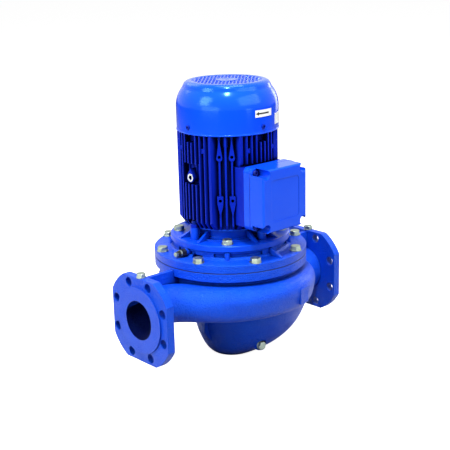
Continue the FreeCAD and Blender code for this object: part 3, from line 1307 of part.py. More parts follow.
def add_lifting_eyes(body):
    """Lifting eyes with their points up, each in a clear field of the fins."""
    low = frame_bottom + eye_bottom
    field = new_sketch(body, "eye_field_outline", ACROSS_PIPE, fin_radius + 2)
    draw_outline(field, rectangle(-fin_pitch * 2, fin_pitch * 2, low - 3, low + eye_tall + 10))
    fields = pocket(body, "eye_field", field, fin_radius + 1 - barrel_radius)
    repeat(body, [fields], "eye_fields", 2)
    inner = barrel_radius - 4
    eye = draw_outline(new_sketch(body, "eye_outline", ACROSS_PIPE, inner),
                       teardrop(eye_half, low, low + eye_tall, 0))
    eyes = pad(body, "eye", eye, fin_radius - eye_proud - inner)
    repeat(body, [eyes], "eyes", 2)


def add_box_neck(body):
    """Clear the fins behind the terminal box and put its square neck there."""
    half = box_half_width - box_neck_inset
    low = box_bottom + box_neck_inset
    high = box_top - box_neck_inset
    clear = new_sketch(body, "neck_field_outline", ALONG_PIPE, fin_radius + 5)
    draw_outline(clear, rectangle(-half - 5, half + 5, low - 5, high + 5))
    pocket(body, "neck_field", clear, fin_radius + 4 - barrel_radius)
    neck = draw_outline(new_sketch(body, "neck_outline", ALONG_PIPE, 60), rectangle(-half, half, low, high))
    pad(body, "neck", neck, box_root - 60)


def hollow_frame(body):
    """Room inside the neck, bore of the frame and passage of the leads."""
    low = box_bottom + box_neck_inset + box_neck_wall
    high = box_top - box_neck_inset - box_neck_wall
    half = box_half_width - box_neck_inset - box_neck_wall
    room = draw_outline(new_sketch(body, "neck_room_outline", ALONG_PIPE, box_root),
                        rectangle(-half, half, low, high))
    pocket(body, "neck_room", room, box_root - barrel_radius - 3)
    bore = new_sketch(body, "frame_bore_outline", LEVEL, frame_top)
    pocket(body, "frame_bore", draw_circle(bore, 0, 0, barrel_radius - barrel_wall),
           frame_top - frame_bottom + 1)
    leads = new_sketch(body, "lead_passage_outline", ALONG_PIPE, box_root)
    draw_circle(leads, 0, (low + high) / 2, lead_half / 2)
    pocket(body, "lead_passage", leads, box_root - barrel_radius + barrel_wall + 10)


def drill_frame(body):
    """Holes of the eyes and foot pads, of the screws to both shields and of the small screws."""
    eye_level = frame_bottom + eye_bottom + eye_half + 0.5
    eye_hole = new_sketch(body, "eye_hole_outline", ACROSS_PIPE, fin_radius + 1)
    draw_circle(eye_hole, 0, eye_level, eye_hole_radius)
    repeat(body, [pocket(body, "eye_hole", eye_hole, 18)], "eye_holes", 2)
    pad_holes = new_sketch(body, "pad_hole_outline", ACROSS_PIPE, pad_face + 1, 45)
    for side in (-1, 1):
        draw_circle(pad_holes, pad_spread * side, frame_bottom + upper_pad_hole, pad_hole_radius)
        draw_circle(pad_holes, pad_spread * side, frame_bottom + lower_pad_hole, pad_hole_radius)
    pads = pocket(body, "pad_holes", pad_holes, pad_hole_deep + 1)
    clear = new_sketch(body, "ear_hole_outline", LEVEL, frame_bottom + ear_tall + 12)
    ears = pocket(body, "ear_hole", draw_circle(clear, ear_middle, 0, ear_screw + 0.4), ear_tall + 13)
    heads = new_sketch(body, "ear_head_outline", LEVEL, frame_bottom + ear_tall + 10)
    rooms = pocket(body, "ear_head_room", draw_circle(heads, ear_middle, 0, 6.2), 10)
    tail = new_sketch(body, "tail_thread_outline", LEVEL, frame_top, 45)
    tails = pocket(body, "tail_thread", draw_circle(tail, tail_screw_radius, 0, tail_screw),
                   tail_screw_grip + 2)
    small = new_sketch(body, "small_thread_outline", ACROSS_PIPE, frame_screw_face() + 1)
    for side in (-1, 1):
        draw_circle(small, frame_screw_across * side, frame_bottom + frame_screw_above, frame_screw_radius)
    smalls = pocket(body, "small_threads", small, 7)
    repeat(body, [pads, ears, rooms, tails, smalls], "frame_holes", 4)


def make_frame():
    """Finned motor frame, open at both ends, with the neck for the terminal box."""
    body = new_body("motor_frame")
    barrel = new_sketch(body, "barrel_outline", LEVEL, frame_bottom)
    pad(body, "barrel", draw_circle(barrel, 0, 0, barrel_radius), frame_top - frame_bottom)
    add_fins(body)
    add_foot_pads(body)
    add_frame_bosses(body)
    bevel_fins(body)
    ear = new_sketch(body, "frame_ear_outline", LEVEL, frame_bottom)
    ears = pad(body, "frame_ear", draw_circle(ear, ear_middle, 0, ear_radius), ear_tall)
    repeat(body, [ears], "frame_ears", 4)
    add_lifting_eyes(body)
    add_box_neck(body)
    hollow_frame(body)
    drill_frame(body)


def make_frame_screws():
    """Small grub screws in the round bosses between the fins."""
    body = new_body("frame_screws")
    screw = new_sketch(body, "grub_outline", ACROSS_PIPE, frame_screw_face() - 6)
    for side in (-1, 1):
        draw_circle(screw, frame_screw_across * side, frame_bottom + frame_screw_above,
                    frame_screw_radius - thread_fit)
    repeat(body, [pad(body, "grub", screw, 6)], "grubs", 4)


def make_stator():
    low = core_bottom
    high = core_bottom + core_length
    ring("stator_core", stator_bore_radius, barrel_radius - barrel_wall, low, high)
    root = stator_bore_radius + winding_inset
    over = winding_overhang
    body = turned("stator_windings", [(root, low), (root + 1, low - over + 8), (root + 6, low - over),
                                      (root + 18, low - over), (root + 23, low - over + 10),
                                      (root + 22, low)])
    turned("stator_windings", [(root, high), (root + 22, high), (root + 23, high + over - 10),
                               (root + 18, high + over), (root + 6, high + over),
                               (root + 1, high + over - 8)], body, "upper_turning")


def make_rotor():
    outer = stator_bore_radius - air_gap
    low = core_bottom
    high = core_bottom + core_length
    ring("rotor_core", rotor_shoulder, outer, low, high)
    inner = outer - 20
    body = turned("rotor_end_rings", [(inner, low - end_ring_tall), (outer - 3, low - end_ring_tall),
                                      (outer - 2, low), (inner, low)])
    turned("rotor_end_rings", [(inner, high), (outer - 2, high), (outer - 3, high + end_ring_tall),
                               (inner, high + end_ring_tall)], body, "upper_turning")


def make_bearing(label, outer, bottom, width, ball, count):
    """Deep-groove ball bearing: two rings, the balls and their cage."""
    bore = shaft_radius
    pitch = (bore + outer) / 2
    groove = ball + ball_play
    middle = bottom + width / 2
    inner_edge = pitch - groove * 0.6
    outer_edge = pitch + groove * 0.6
    low = middle - groove * 0.8
    high = middle + groove * 0.8
    turned(label + "_inner_ring", [(bore, bottom), (inner_edge, bottom), (inner_edge, low, -groove),
                                   (inner_edge, high), (inner_edge, bottom + width), (bore, bottom + width)])
    turned(label + "_outer_ring", [(outer_edge, bottom), (outer, bottom), (outer, bottom + width),
                                   (outer_edge, bottom + width), (outer_edge, high, -groove),
                                   (outer_edge, low)])
    balls = new_body(label + "_balls")
    half_disc = new_sketch(balls, label + "_ball_outline", ALONG_PIPE, shift=pitch, rise=middle)
    draw_outline(half_disc, [(0, -ball, ball), (ball, 0, ball), (0, ball)])
    sphere = turn_on(balls, "Revolution", label + "_ball", half_disc)
    repeat(balls, [sphere], label + "_ball_ring", count)
    half = ball * 0.7
    cage = ring(label + "_cage", pitch - 1.4, pitch + 1.4, middle - half, middle + half)
    room = new_sketch(cage, label + "_room_outline", ACROSS_PIPE, pitch + 10)
    rooms = pocket(cage, label + "_room", draw_circle(room, 0, middle, ball + cage_play), 20)
    repeat(cage, [rooms], label + "_rooms", count)


def make_tail_shield():
    """Fan-end shield with four lugs that carry the fan cover."""
    bottom = tail_bearing_bottom
    top = frame_top
    radius = tail_bearing_radius
    bore = barrel_radius - barrel_wall
    edge = tail_screw_radius + 6
    points = [(radius, bottom), (radius + 9, bottom), (radius + 9, top - 4), (bore - 8, top - 4),
              (bore - 8, top - 9), (bore, top - 9), (bore, top), (edge, top), (edge, top + 5),
              (shaft_radius + 2, top + 5), (shaft_radius + 2, top + 1), (radius - 6, top + 1),
              (radius - 6, top - 1), (radius, top - 1)]
    body = turned("fan_end_shield", points)
    reach = cover_radius - cover_sheet - lug_play
    face = beside(reach, lug_half)
    foot = new_sketch(body, "lug_foot_outline", LEVEL, top)
    draw_outline(foot, [(edge - 14, -lug_half), (face, -lug_half, reach), (face, lug_half),
                        (edge - 14, lug_half)])
    feet = pad(body, "lug_foot", foot, 5)
    lug = new_sketch(body, "lug_outline", LEVEL, top)
    draw_outline(lug, [(fan_radius + 3, -lug_half), (face, -lug_half, reach), (face, lug_half),
                       (fan_radius + 3, lug_half)])
    lugs = pad(body, "lug", lug, lug_tall)
    repeat(body, [feet, lugs], "lugs", 4)
    hole = new_sketch(body, "lug_hole_outline", ACROSS_PIPE, cover_radius)
    lug_holes = pocket(body, "lug_hole", draw_circle(hole, 0, cover_screw_height, cover_screw), 20)
    screws = new_sketch(body, "tail_hole_outline", LEVEL, top + 5, 45)
    clear = pocket(body, "tail_hole", draw_circle(screws, tail_screw_radius, 0, tail_screw + 0.4), 16)
    repeat(body, [lug_holes, clear], "tail_holes", 4)


def make_tail_screws():
    body = new_body("fan_end_screws")
    screw = socket_screw(body, "fan_end_screw", tail_screw_radius, frame_top + 5, tail_screw - thread_fit,
                         tail_screw_grip + 5, 4.5, 5)
    repeat(body, screw, "fan_end_screw_ring", 4)
    body.Placement = FreeCAD.Placement(Vector(0, 0, 0), FreeCAD.Rotation(UP, 45))


def make_preload_washer():
    ring("preload_washer", tail_bearing_radius - 5, tail_bearing_radius - 0.3,
         tail_bearing_bottom + tail_bearing_width, frame_top - 1)


def make_fan():
    """Radial fan with straight blades, and the clip that holds it on the shaft."""
    low = fan_height
    high = fan_height + fan_disc_thick
    hub_top = fan_height + fan_hub_above
    body = turned("cooling_fan", [(fan_shaft_radius, low - fan_hub_below),
                                  (fan_hub_radius, low - fan_hub_below), (fan_hub_radius, low - 2),
                                  (fan_radius, low), (fan_radius, high), (fan_hub_radius + 4, high),
                                  (fan_hub_radius, hub_top), (fan_shaft_radius, hub_top)])
    half = fan_blade_thick / 2
    blade = new_sketch(body, "fan_blade_outline", LEVEL, fan_height)
    draw_outline(blade, rectangle(fan_hub_radius + 6, fan_radius - 1, -half, half))
    repeat(body, [pad(body, "fan_blade", blade, fan_blade_tall)], "fan_blades", fan_blade_count)
    ring("fan_clip", fan_shaft_radius - clip_depth, fan_shaft_radius + 4, hub_top, hub_top + clip_thick)


def add_grille(body, top):
    """Parallel slots over the whole top of the cover, apart from the disc in its middle."""
    half = (grille_pitch - grille_bar) / 2
    slots = new_sketch(body, "grille_outline", LEVEL, top, grille_turn)
    for i in range(grille_rows):
        place = grille_pitch * (i - (grille_rows - 1) / 2)
        outermost = place + half if place.number > 0 else place - half
        end = beside(grille_radius, outermost)
        if abs(place.number) < grille_hub.number:
            start = beside(grille_hub + half + 1, place)
            draw_outline(slots, rectangle(place - half, place + half, start, end))
            draw_outline(slots, rectangle(place - half, place + half, -end, -start))
        else:
            draw_outline(slots, rectangle(place - half, place + half, -end, end))
    pocket(body, "grille_slots", slots, cover_sheet + 1)
    ties = new_sketch(body, "grille_tie_outline", LEVEL, top - cover_sheet, grille_turn)
    for across in (-grille_radius / 2, grille_radius / 2):
        reach = beside(grille_radius, across) - 1
        draw_outline(ties, rectangle(-reach, reach, across - grille_bar / 2, across + grille_bar / 2))
    pad(body, "grille_ties", ties, cover_sheet)


def make_fan_cover():
    """Fan cover: straight skirt, leaning dome with a rounded shoulder and a slotted top."""
    low = frame_top
    shoulder = frame_top + cover_straight
    top = shoulder + dome_height
    out = cover_radius
    side_top = shoulder + dome_side_tall
    sheet_thick = cover_sheet
    inside = out - sheet_thick
    points = [(out, low), (out, shoulder, dome_side_bend), (out - dome_side_in, side_top, dome_shoulder_bend),
              (out - dome_shoulder_in, top), (0, top), (0, top - sheet_thick),
              (out - dome_shoulder_in - 0.5, top - sheet_thick, sheet_thick - dome_shoulder_bend),
              (out - dome_side_in - 1.6, side_top - 0.9, sheet_thick - dome_side_bend), (inside, shoulder),
              (inside, low)]
    body = turned("fan_cover", points)
    add_grille(body, top)
    hole = new_sketch(body, "cover_hole_outline", ACROSS_PIPE, cover_radius + 5)
    draw_circle(hole, 0, cover_screw_height, cover_screw + 0.5)
    repeat(body, [pocket(body, "cover_hole", hole, 20)], "cover_holes", 4)


def make_cover_screws():
    """Round-head screws that go through the skirt of the cover into the shield's lugs."""
    body = new_body("fan_cover_screws")
    rod = cover_screw - thread_fit
    head = cover_radius + 3
    sketch = new_sketch(body, "cover_screw_outline", ALONG_PIPE, rise=cover_screw_height)
    draw_outline(sketch, [(cover_radius - cover_screw_long, 0), (head, 0), (head, 4.2), (cover_radius, 4.2),
                          (cover_radius, rod), (cover_radius - cover_screw_long, rod)])
    screw = turn_on(body, "Revolution", "cover_screw", sketch, "H_Axis")
    socket = new_sketch(body, "cover_socket_outline", ACROSS_PIPE, head, rise=cover_screw_height)
    hollow = pocket(body, "cover_socket", draw_outline(socket, hexagon(3.8)), 2)
    repeat(body, [screw, hollow], "cover_screw_ring", 4)


# Terminal box

def box_outline(inset, corner):
    """Rounded outline of the terminal box, pulled in by an inset."""
    half = box_half_width - inset
    return rounded(-half, half, box_bottom + inset, box_top - inset, corner)


def lid_screw_places():
    half = box_half_width - lid_screw_inset
    return [(x, z) for x in (-half, half) for z in (box_bottom + lid_screw_inset, box_top - lid_screw_inset)]


def screw_circles(body, name, lift, radius):
    """Sketch with a circle at each of the four lid screws."""
    sketch = new_sketch(body, name, ALONG_PIPE, lift)
    for across, height in lid_screw_places():
        draw_circle(sketch, across, height, radius)
    return sketch


def make_box_base():
    """Base of the terminal box: floor with the lead hole, walls, screw posts and cable entry."""
    near = box_root + box_gasket
    far = near + box_base_deep
    body = new_body("terminal_box")
    block = draw_outline(new_sketch(body, "box_base_outline", ALONG_PIPE, near), box_outline(0, box_corner))
    pad(body, "box_base", block, box_base_deep)
    room = new_sketch(body, "box_room_outline", ALONG_PIPE, far)
    draw_outline(room, box_outline(box_wall, box_corner - box_wall))
    pocket(body, "box_room", room, box_base_deep - box_wall)
    pad(body, "box_posts", screw_circles(body, "box_post_outline", near + 1, lid_screw + 4),
        box_base_deep - 1)
    pocket(body, "box_threads", screw_circles(body, "box_thread_outline", far, lid_screw), box_base_deep - 5)
    lead_high = box_top - lid_screw_inset - 7
    leads = new_sketch(body, "lead_hole_outline", ALONG_PIPE, far)
    draw_outline(leads, rectangle(-lead_half, lead_half, lead_high - lead_tall, lead_high))
    pocket(body, "lead_hole", leads, box_base_deep + 1)
    entry = new_sketch(body, "entry_outline", ACROSS_PIPE, box_half_width)
    draw_circle(entry, -(near + box_base_deep / 2), box_bottom + entry_above, entry_radius)
    pocket(body, "entry", entry, box_wall + 1)


def make_box_gaskets():
    """Gasket between frame and box, and gasket under the lid."""
    seat = new_body("box_seat_gasket")
    outline = new_sketch(seat, "seat_gasket_outline", ALONG_PIPE, box_root)
    draw_outline(outline, box_outline(box_neck_inset + 1, box_corner - 4))
    draw_outline(outline, box_outline(box_neck_inset + box_neck_wall + 4, 4))
    pad(seat, "seat_gasket", outline, box_gasket)
    near = box_root + box_gasket + box_base_deep
    lid = new_body("lid_gasket")
    frame_line = new_sketch(lid, "lid_gasket_outline", ALONG_PIPE, near)
    draw_outline(frame_line, box_outline(0.5, box_corner))
    draw_outline(frame_line, box_outline(box_wall, box_corner - box_wall))
    pad(lid, "lid_gasket_frame", frame_line, box_gasket)


def make_lid():
    """Lid of the terminal box: rounded front edge, a shallow panel and channels to its screws."""
    near = box_root + 2 * box_gasket + box_base_deep
    far = near + box_lid_deep
    body = new_body("terminal_box_lid")
    bevel = 3
    block = draw_outline(new_sketch(body, "lid_outline", ALONG_PIPE, near), box_outline(0, box_corner))
    pad(body, "lid_block", block, box_lid_deep - bevel)
    front = draw_outline(new_sketch(body, "lid_front_outline", ALONG_PIPE, far - bevel),
                         box_outline(0, box_corner))
    brim = pad(body, "lid_front", front, bevel)
    brim.TaperAngle = -40
    room = new_sketch(body, "lid_room_outline", ALONG_PIPE, near)
    draw_outline(room, box_outline(box_wall, box_corner - box_wall))
    hollow = pocket(body, "lid_room", room, box_lid_deep - box_wall)
    hollow.Reversed = True
    posts = screw_circles(body, "lid_post_outline", near, channel_radius + 2.5)
    pad(body, "lid_posts", posts, box_lid_deep - box_wall)
    outside = new_sketch(body, "lid_trim_outline", ALONG_PIPE, near)
    draw_outline(outside, box_outline(-20, 1))
    draw_outline(outside, box_outline(0, box_corner))
    trim = pocket(body, "lid_trim", outside, box_lid_deep + 1)
    trim.Reversed = True
    panel = draw_outline(new_sketch(body, "lid_panel_outline", ALONG_PIPE, far), box_outline(panel_inset, 8))
    pocket(body, "lid_panel", panel, panel_deep)
    channel_deep = box_lid_deep - lid_ledge
    pocket(body, "lid_channels", screw_circles(body, "lid_channel_outline", far, channel_radius),
           channel_deep)
    corners = new_sketch(body, "lid_corner_outline", ALONG_PIPE, far)
    for across, height in lid_screw_places():
        out = as_size(20) if across.number > 0 else as_size(-20)
        rise = as_size(20) if height.number > (box_bottom + box_tall / 2).number else as_size(-20)
        draw_outline(corners, [(across, height), (across + out, height), (across + out, height + rise),
                               (across, height + rise)])
    pocket(body, "lid_corners", corners, channel_deep)
    clear = screw_circles(body, "lid_hole_outline", near + lid_ledge, lid_screw + 0.4)
    pocket(body, "lid_holes", clear, lid_ledge + 1)


def make_lid_screws():
    seat = box_root + 2 * box_gasket + box_base_deep + lid_ledge
    body = new_body("lid_screws")
    shank = lid_ledge + box_gasket + 8
    rods = screw_circles(body, "lid_rod_outline", seat - shank, lid_screw - thread_fit)
    pad(body, "lid_rods", rods, shank)
    pad(body, "lid_heads", screw_circles(body, "lid_head_outline", seat, 5), 5)
    sockets = new_sketch(body, "lid_socket_outline", ALONG_PIPE, seat + 5)
    for across, height in lid_screw_places():
        draw_outline(sockets, hexagon(4.5, across, height))
    pocket(body, "lid_sockets", sockets, 3)


def make_terminal_block():
    """Terminal block with six wells, and a stud with its nut in each."""
    floor = box_root + box_gasket + box_wall
    middle = box_bottom + box_tall / 2
    pitch = 20
    places = [(as_size(x), middle + z) for x in (-pitch, 0, pitch) for z in (-11, 11)]
    body = new_body("terminal_block")
    wide = 34
    high = 24
    plate = new_sketch(body, "block_outline", ALONG_PIPE, floor)
    outline = rectangle(-wide, wide, middle - high, middle + high)
    pad(body, "block_plate", draw_outline(plate, outline), block_deep)
    half = 8
    wells = new_sketch(body, "well_outline", ALONG_PIPE, floor + block_deep)
    for across, height in places:
        draw_outline(wells, rectangle(across - half, across + half, height - half, height + half))
    pocket(body, "wells", wells, well_deep)
    seat = floor + block_deep - well_deep
    studs = new_body("terminal_studs")
    rods = new_sketch(studs, "stud_outline", ALONG_PIPE, seat)
    nuts = new_sketch(studs, "stud_nut_outline", ALONG_PIPE, seat)
    for across, height in places:
        draw_circle(rods, across, height, 2.5)
        draw_outline(nuts, hexagon(half, across, height))
    pad(studs, "stud", rods, stud_tall)
    pad(studs, "stud_nut", nuts, stud_nut_tall)


def make_entry_plug():
    """Blind plug of the cable entry on the suction side of the box."""
    body = new_body("cable_entry_plug")
    level = -(box_root + box_gasket + box_base_deep / 2)
    height = box_bottom + entry_above
    rod = new_sketch(body, "plug_rod_outline", ACROSS_PIPE, box_half_width - box_wall - 1)
    pad(body, "plug_rod", draw_circle(rod, level, height, entry_radius - thread_fit), box_wall + 1)
    head = new_sketch(body, "plug_head_outline", ACROSS_PIPE, box_half_width)
    cap = pad(body, "plug_head", draw_circle(head, level, height, entry_radius + 1.5), 4.5)
    cap.TaperAngle = -15


def curved_plate(label, first, last, low, high):
    """Thin plate lying on the fan cover, between two angles and two heights."""
    inner = cover_radius + plate_glue
    outer = cover_radius + plate_thick
    start, end = math.radians(first), math.radians(last)
    body = new_body(label)
    sketch = new_sketch(body, label + "_outline", LEVEL, low)
    draw_outline(sketch, [(inner * math.cos(start), inner * math.sin(start)),
                          (outer * math.cos(start), outer * math.sin(start), outer),
                          (outer * math.cos(end), outer * math.sin(end)),
                          (inner * math.cos(end), inner * math.sin(end), -inner)])
    pad(body, label + "_sheet", sketch, high - low)


def make_plates():
    curved_plate("arrow_plate", first=-100.5, last=-76.0, low=frame_top + 34, high=frame_top + 48)
    curved_plate("rating_plate", first=-68.0, last=-38.0, low=frame_top + 13, high=frame_top + 35)


make_casing()
make_casing_gasket()
make_wear_ring()
make_bracket()
make_casing_bolts()
make_plugs()
make_vent()
make_shaft()
make_key()
make_impeller()
make_impeller_nut()
make_seal()
make_slinger()
make_drive_shield()
make_motor_bolts()
make_frame()
make_frame_screws()
make_stator()
make_rotor()
make_bearing("drive_bearing", drive_bearing_radius, drive_bearing_bottom, drive_bearing_width,
             drive_ball_radius, drive_ball_count)
make_bearing("fan_bearing", tail_bearing_radius, tail_bearing_bottom, tail_bearing_width, tail_ball_radius,
             tail_ball_count)
make_tail_shield()
make_tail_screws()
make_preload_washer()
make_fan()
make_fan_cover()
make_cover_screws()
make_box_base()
make_box_gaskets()
make_lid()
make_lid_screws()
make_terminal_block()
make_entry_plug()
make_plates()
doc.recompute()

for item in doc.Objects:
    if "Invalid" in item.State or "Error" in item.State:
        sys.exit(item.Name + " failed: " + str(item.State))
os.makedirs("parts", exist_ok=True)
for label, item in parts_made:
    if item.Shape.isNull() or not item.Shape.isValid():
        sys.exit(label + " has no valid shape")
    item.Shape.exportStep("parts/" + label + ".step")
    print(label, len(item.Shape.Solids), round(item.Shape.Volume))
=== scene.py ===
import json
import math

import bmesh
import bpy
from mathutils import Matrix, Vector


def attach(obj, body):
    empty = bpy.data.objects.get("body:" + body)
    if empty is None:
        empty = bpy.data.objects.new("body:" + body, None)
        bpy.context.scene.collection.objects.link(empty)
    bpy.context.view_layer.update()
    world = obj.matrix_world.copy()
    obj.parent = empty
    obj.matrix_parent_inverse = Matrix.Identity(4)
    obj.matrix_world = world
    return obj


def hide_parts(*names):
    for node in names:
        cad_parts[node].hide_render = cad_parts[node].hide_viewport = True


# In-line circulator pump with a dry rotor: the looks of its blue enamel, bare steel and inner
# pieces, the fine pieces that stand on its solids, and a plain pale studio around it.
# Metres, +Z up along the shaft, the same frame as the solids. Named sizes are in millimetres.

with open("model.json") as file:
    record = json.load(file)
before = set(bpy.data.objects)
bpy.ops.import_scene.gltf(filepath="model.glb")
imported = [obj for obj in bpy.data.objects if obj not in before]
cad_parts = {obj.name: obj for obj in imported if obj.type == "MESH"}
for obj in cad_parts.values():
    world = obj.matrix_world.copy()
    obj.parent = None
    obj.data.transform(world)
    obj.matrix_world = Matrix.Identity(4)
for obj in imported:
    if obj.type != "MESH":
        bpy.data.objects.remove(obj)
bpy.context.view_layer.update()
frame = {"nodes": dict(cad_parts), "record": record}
nodes = frame["nodes"]
bpy.ops.object.select_all(action="DESELECT")

MM = 0.001


# Colours and nodes

# Sockets of the colour mix: its share, its two colours and its result
MIX_SHARE = 0
MIX_FIRST = 6
MIX_SECOND = 7
MIX_RESULT = 2


def linear(hex_colour):
    """Turn an sRGB hex colour into the linear colour that the shader takes."""
    channels = []
    for place in (1, 3, 5):
        share = int(hex_colour[place:place + 2], 16) / 255
        if share <= 0.04045:
            channels.append(share / 12.92)
        else:
            channels.append(((share + 0.055) / 1.055) ** 2.4)
    return (*channels, 1.0)


def add(tree, kind, values=None, links=None, **settings):
    """Add one node with its settings, the values of its sockets and what feeds them."""
    made = tree.nodes.new(kind)
    for name, value in settings.items():
        setattr(made, name, value)
    for socket, value in (values or {}).items():
        made.inputs[socket].default_value = value
    for socket, source in (links or {}).items():
        tree.links.new(source, made.inputs[socket])
    return made


# Most of a noise lies between these two values
NOISE_LOW = 0.3
NOISE_HIGH = 0.7


def every(millimetres):
    """Scale of a noise whose marks are about this many millimetres across."""
    return 1 / (millimetres * MM)


# Radians that a wave runs through in one unit of its scaled place
WAVE_RADIANS = 20


def radian(millimetres):
    """Scale of a wave whose radian is this many millimetres long, with bands 6.28 times as far apart."""
    return every(millimetres) / WAVE_RADIANS


def new_material(name):
    """Empty material, its node tree and the place on the object that its patterns read."""
    material = bpy.data.materials.new(name)
    material.use_nodes = True
    tree = material.node_tree
    tree.nodes.clear()
    return material, tree, add(tree, "ShaderNodeTexCoord").outputs["Object"]


# Painted surfaces

# Height of the pipe axis above the foot. Inside the bore about that axis the enamel is darkened to a
# near-black blue, a painted shade.
PIPE_HEIGHT = 130
PORT_BORE = 40.3
NO_BORE = -1
BORE_FADE = 0.6
# Near-black blue painted into the water ways, corners and hollows as painted shade
SHADE_BLUE = "#010430"
# The clear top of the paint mirrors white light a little blue
TOP_COAT = "#7CC4FF"
# Shine left in the painted shade of hollows and bores, and the share of the full shine left on a face that
# looks down, a painted shade on its reflection
LEAST_SHINE = 0.04
UNDERSIDE_SHINE = 0.25
# Between these shares of open sky the painted shade of a corner, or of a hollow, fades out to the full
# enamel colour
CORNER_OPEN = (0.25, 0.75)
HOLLOW_OPEN = (0.15, 0.55)
# Between these slopes the shine grows to full, -1 being a face that looks straight down
UNDERSIDE = (-0.7, -0.1)


def enamel(name, shades, grain, grain_height, swell, swell_height, gloss, edge, shine, corner_reach,
           hollow_reach, colour_in_shade, bore=NO_BORE):
    """Blue enamel over the skin of a casting: round at its edges, and darkened in hollows by painted shade.

    The sizes of grain, swell, edge, reach and bore are in millimetres. As painted shade, the colour darkens
    towards a near-black blue where a corner closes within corner_reach, or a hollow within hollow_reach,
    down to the share of its colour kept in the darkest hollow; inside the bore it is the near-black blue
    alone.
    """
    material, tree, place = new_material(name)
    skin = add(tree, "ShaderNodeTexNoise", {"Scale": every(grain), "Detail": 4.0, "Roughness": 0.6},
               {"Vector": place}).outputs["Fac"]
    flow = add(tree, "ShaderNodeTexNoise", {"Scale": every(swell), "Detail": 2.0},
               {"Vector": place}).outputs["Fac"]
    shade = add(tree, "ShaderNodeMix", {MIX_FIRST: linear(shades[0]), MIX_SECOND: linear(shades[1])},
                {MIX_SHARE: flow}, data_type="RGBA").outputs[MIX_RESULT]

    # Painted shade: the colour darkens towards a near-black blue in corners and hollows, and inside a bore
    near = add(tree, "ShaderNodeAmbientOcclusion", {"Distance": corner_reach * MM}, samples=8)
    far = add(tree, "ShaderNodeAmbientOcclusion", {"Distance": hollow_reach * MM}, samples=8)
    corner = add(tree, "ShaderNodeMapRange",
                 {"From Min": CORNER_OPEN[0], "From Max": CORNER_OPEN[1], "To Min": colour_in_shade},
                 {"Value": near.outputs["AO"]}).outputs["Result"]
    hollow = add(tree, "ShaderNodeMapRange",
                 {"From Min": HOLLOW_OPEN[0], "From Max": HOLLOW_OPEN[1], "To Min": colour_in_shade},
                 {"Value": far.outputs["AO"]}).outputs["Result"]
    across = add(tree, "ShaderNodeVectorMath", {1: (0, 0, -PIPE_HEIGHT * MM)}, {0: place},
                 operation="ADD").outputs["Vector"]
    off_axis = add(tree, "ShaderNodeVectorMath", {1: (0, 1, 1)}, {0: across},
                   operation="MULTIPLY").outputs["Vector"]
    spread = add(tree, "ShaderNodeVectorMath", links={0: off_axis}, operation="LENGTH").outputs["Value"]
    outside = add(tree, "ShaderNodeMapRange", {"From Min": bore * MM, "From Max": (bore + BORE_FADE) * MM},
                  {"Value": spread}).outputs["Result"]
    open_share = add(tree, "ShaderNodeMath", links={0: corner, 1: hollow},
                  operation="MULTIPLY").outputs["Value"]
    # cover is the share of the enamel's colour left after the painted shade
    cover = add(tree, "ShaderNodeMath", links={0: open_share, 1: outside},
                operation="MULTIPLY").outputs["Value"]
    paint = add(tree, "ShaderNodeMix", {MIX_FIRST: linear(SHADE_BLUE)}, {MIX_SHARE: cover, MIX_SECOND: shade},
                data_type="RGBA").outputs[MIX_RESULT]

    # How it shines: rougher over the grain; its reflection is dimmed in the painted shade and on faces that
    # look down, a painted shade on the reflection
    dull = add(tree, "ShaderNodeMapRange",
               {"From Min": NOISE_LOW, "From Max": NOISE_HIGH, "To Min": gloss[0], "To Max": gloss[1]},
               {"Value": skin}).outputs["Result"]
    facing = add(tree, "ShaderNodeNewGeometry").outputs["Normal"]
    upward = add(tree, "ShaderNodeVectorMath", {1: (0, 0, 1)}, {0: facing},
                 operation="DOT_PRODUCT").outputs["Value"]
    upward_shine = add(tree, "ShaderNodeMapRange",
                  {"From Min": UNDERSIDE[0], "From Max": UNDERSIDE[1], "To Min": UNDERSIDE_SHINE},
                  {"Value": upward}).outputs["Result"]
    shine_share = add(tree, "ShaderNodeMath", links={0: cover, 1: upward_shine},
                   operation="MULTIPLY").outputs["Value"]
    sheen = add(tree, "ShaderNodeMapRange", {"To Min": LEAST_SHINE, "To Max": shine},
                {"Value": shine_share}).outputs["Result"]

    # Its form: rounded edges, the swell of the casting and the grain of its skin
    rounding = add(tree, "ShaderNodeBevel", {"Radius": edge * MM}, samples=6).outputs["Normal"]
    waves = add(tree, "ShaderNodeBump", {"Distance": swell_height * MM},
                {"Height": flow, "Normal": rounding}).outputs["Normal"]
    grit = add(tree, "ShaderNodeBump", {"Distance": grain_height * MM},
               {"Height": skin, "Normal": waves}).outputs["Normal"]
    shader = add(tree, "ShaderNodeBsdfPrincipled", {"IOR": 1.5, "Specular Tint": linear(TOP_COAT)},
                 {"Base Color": paint, "Roughness": dull, "Normal": grit, "Specular IOR Level": sheen})
    add(tree, "ShaderNodeOutputMaterial", links={"Surface": shader.outputs["BSDF"]})
    return material


# Enamel over sand-cast iron: the sand's grain, drawn 3 mm wide to show, sparkles through it, and the water
# ways inside are painted nearly black as painted shade
CAST_BLUE = enamel("enamel_on_sand_cast_iron", ("#0238C8", "#064CDE"), grain=3.0, grain_height=3.0,
                   swell=26, swell_height=1.6, gloss=(0.26, 0.42), edge=1.8, shine=0.5,
                   corner_reach=5, hollow_reach=40, colour_in_shade=0.3, bore=PORT_BORE)
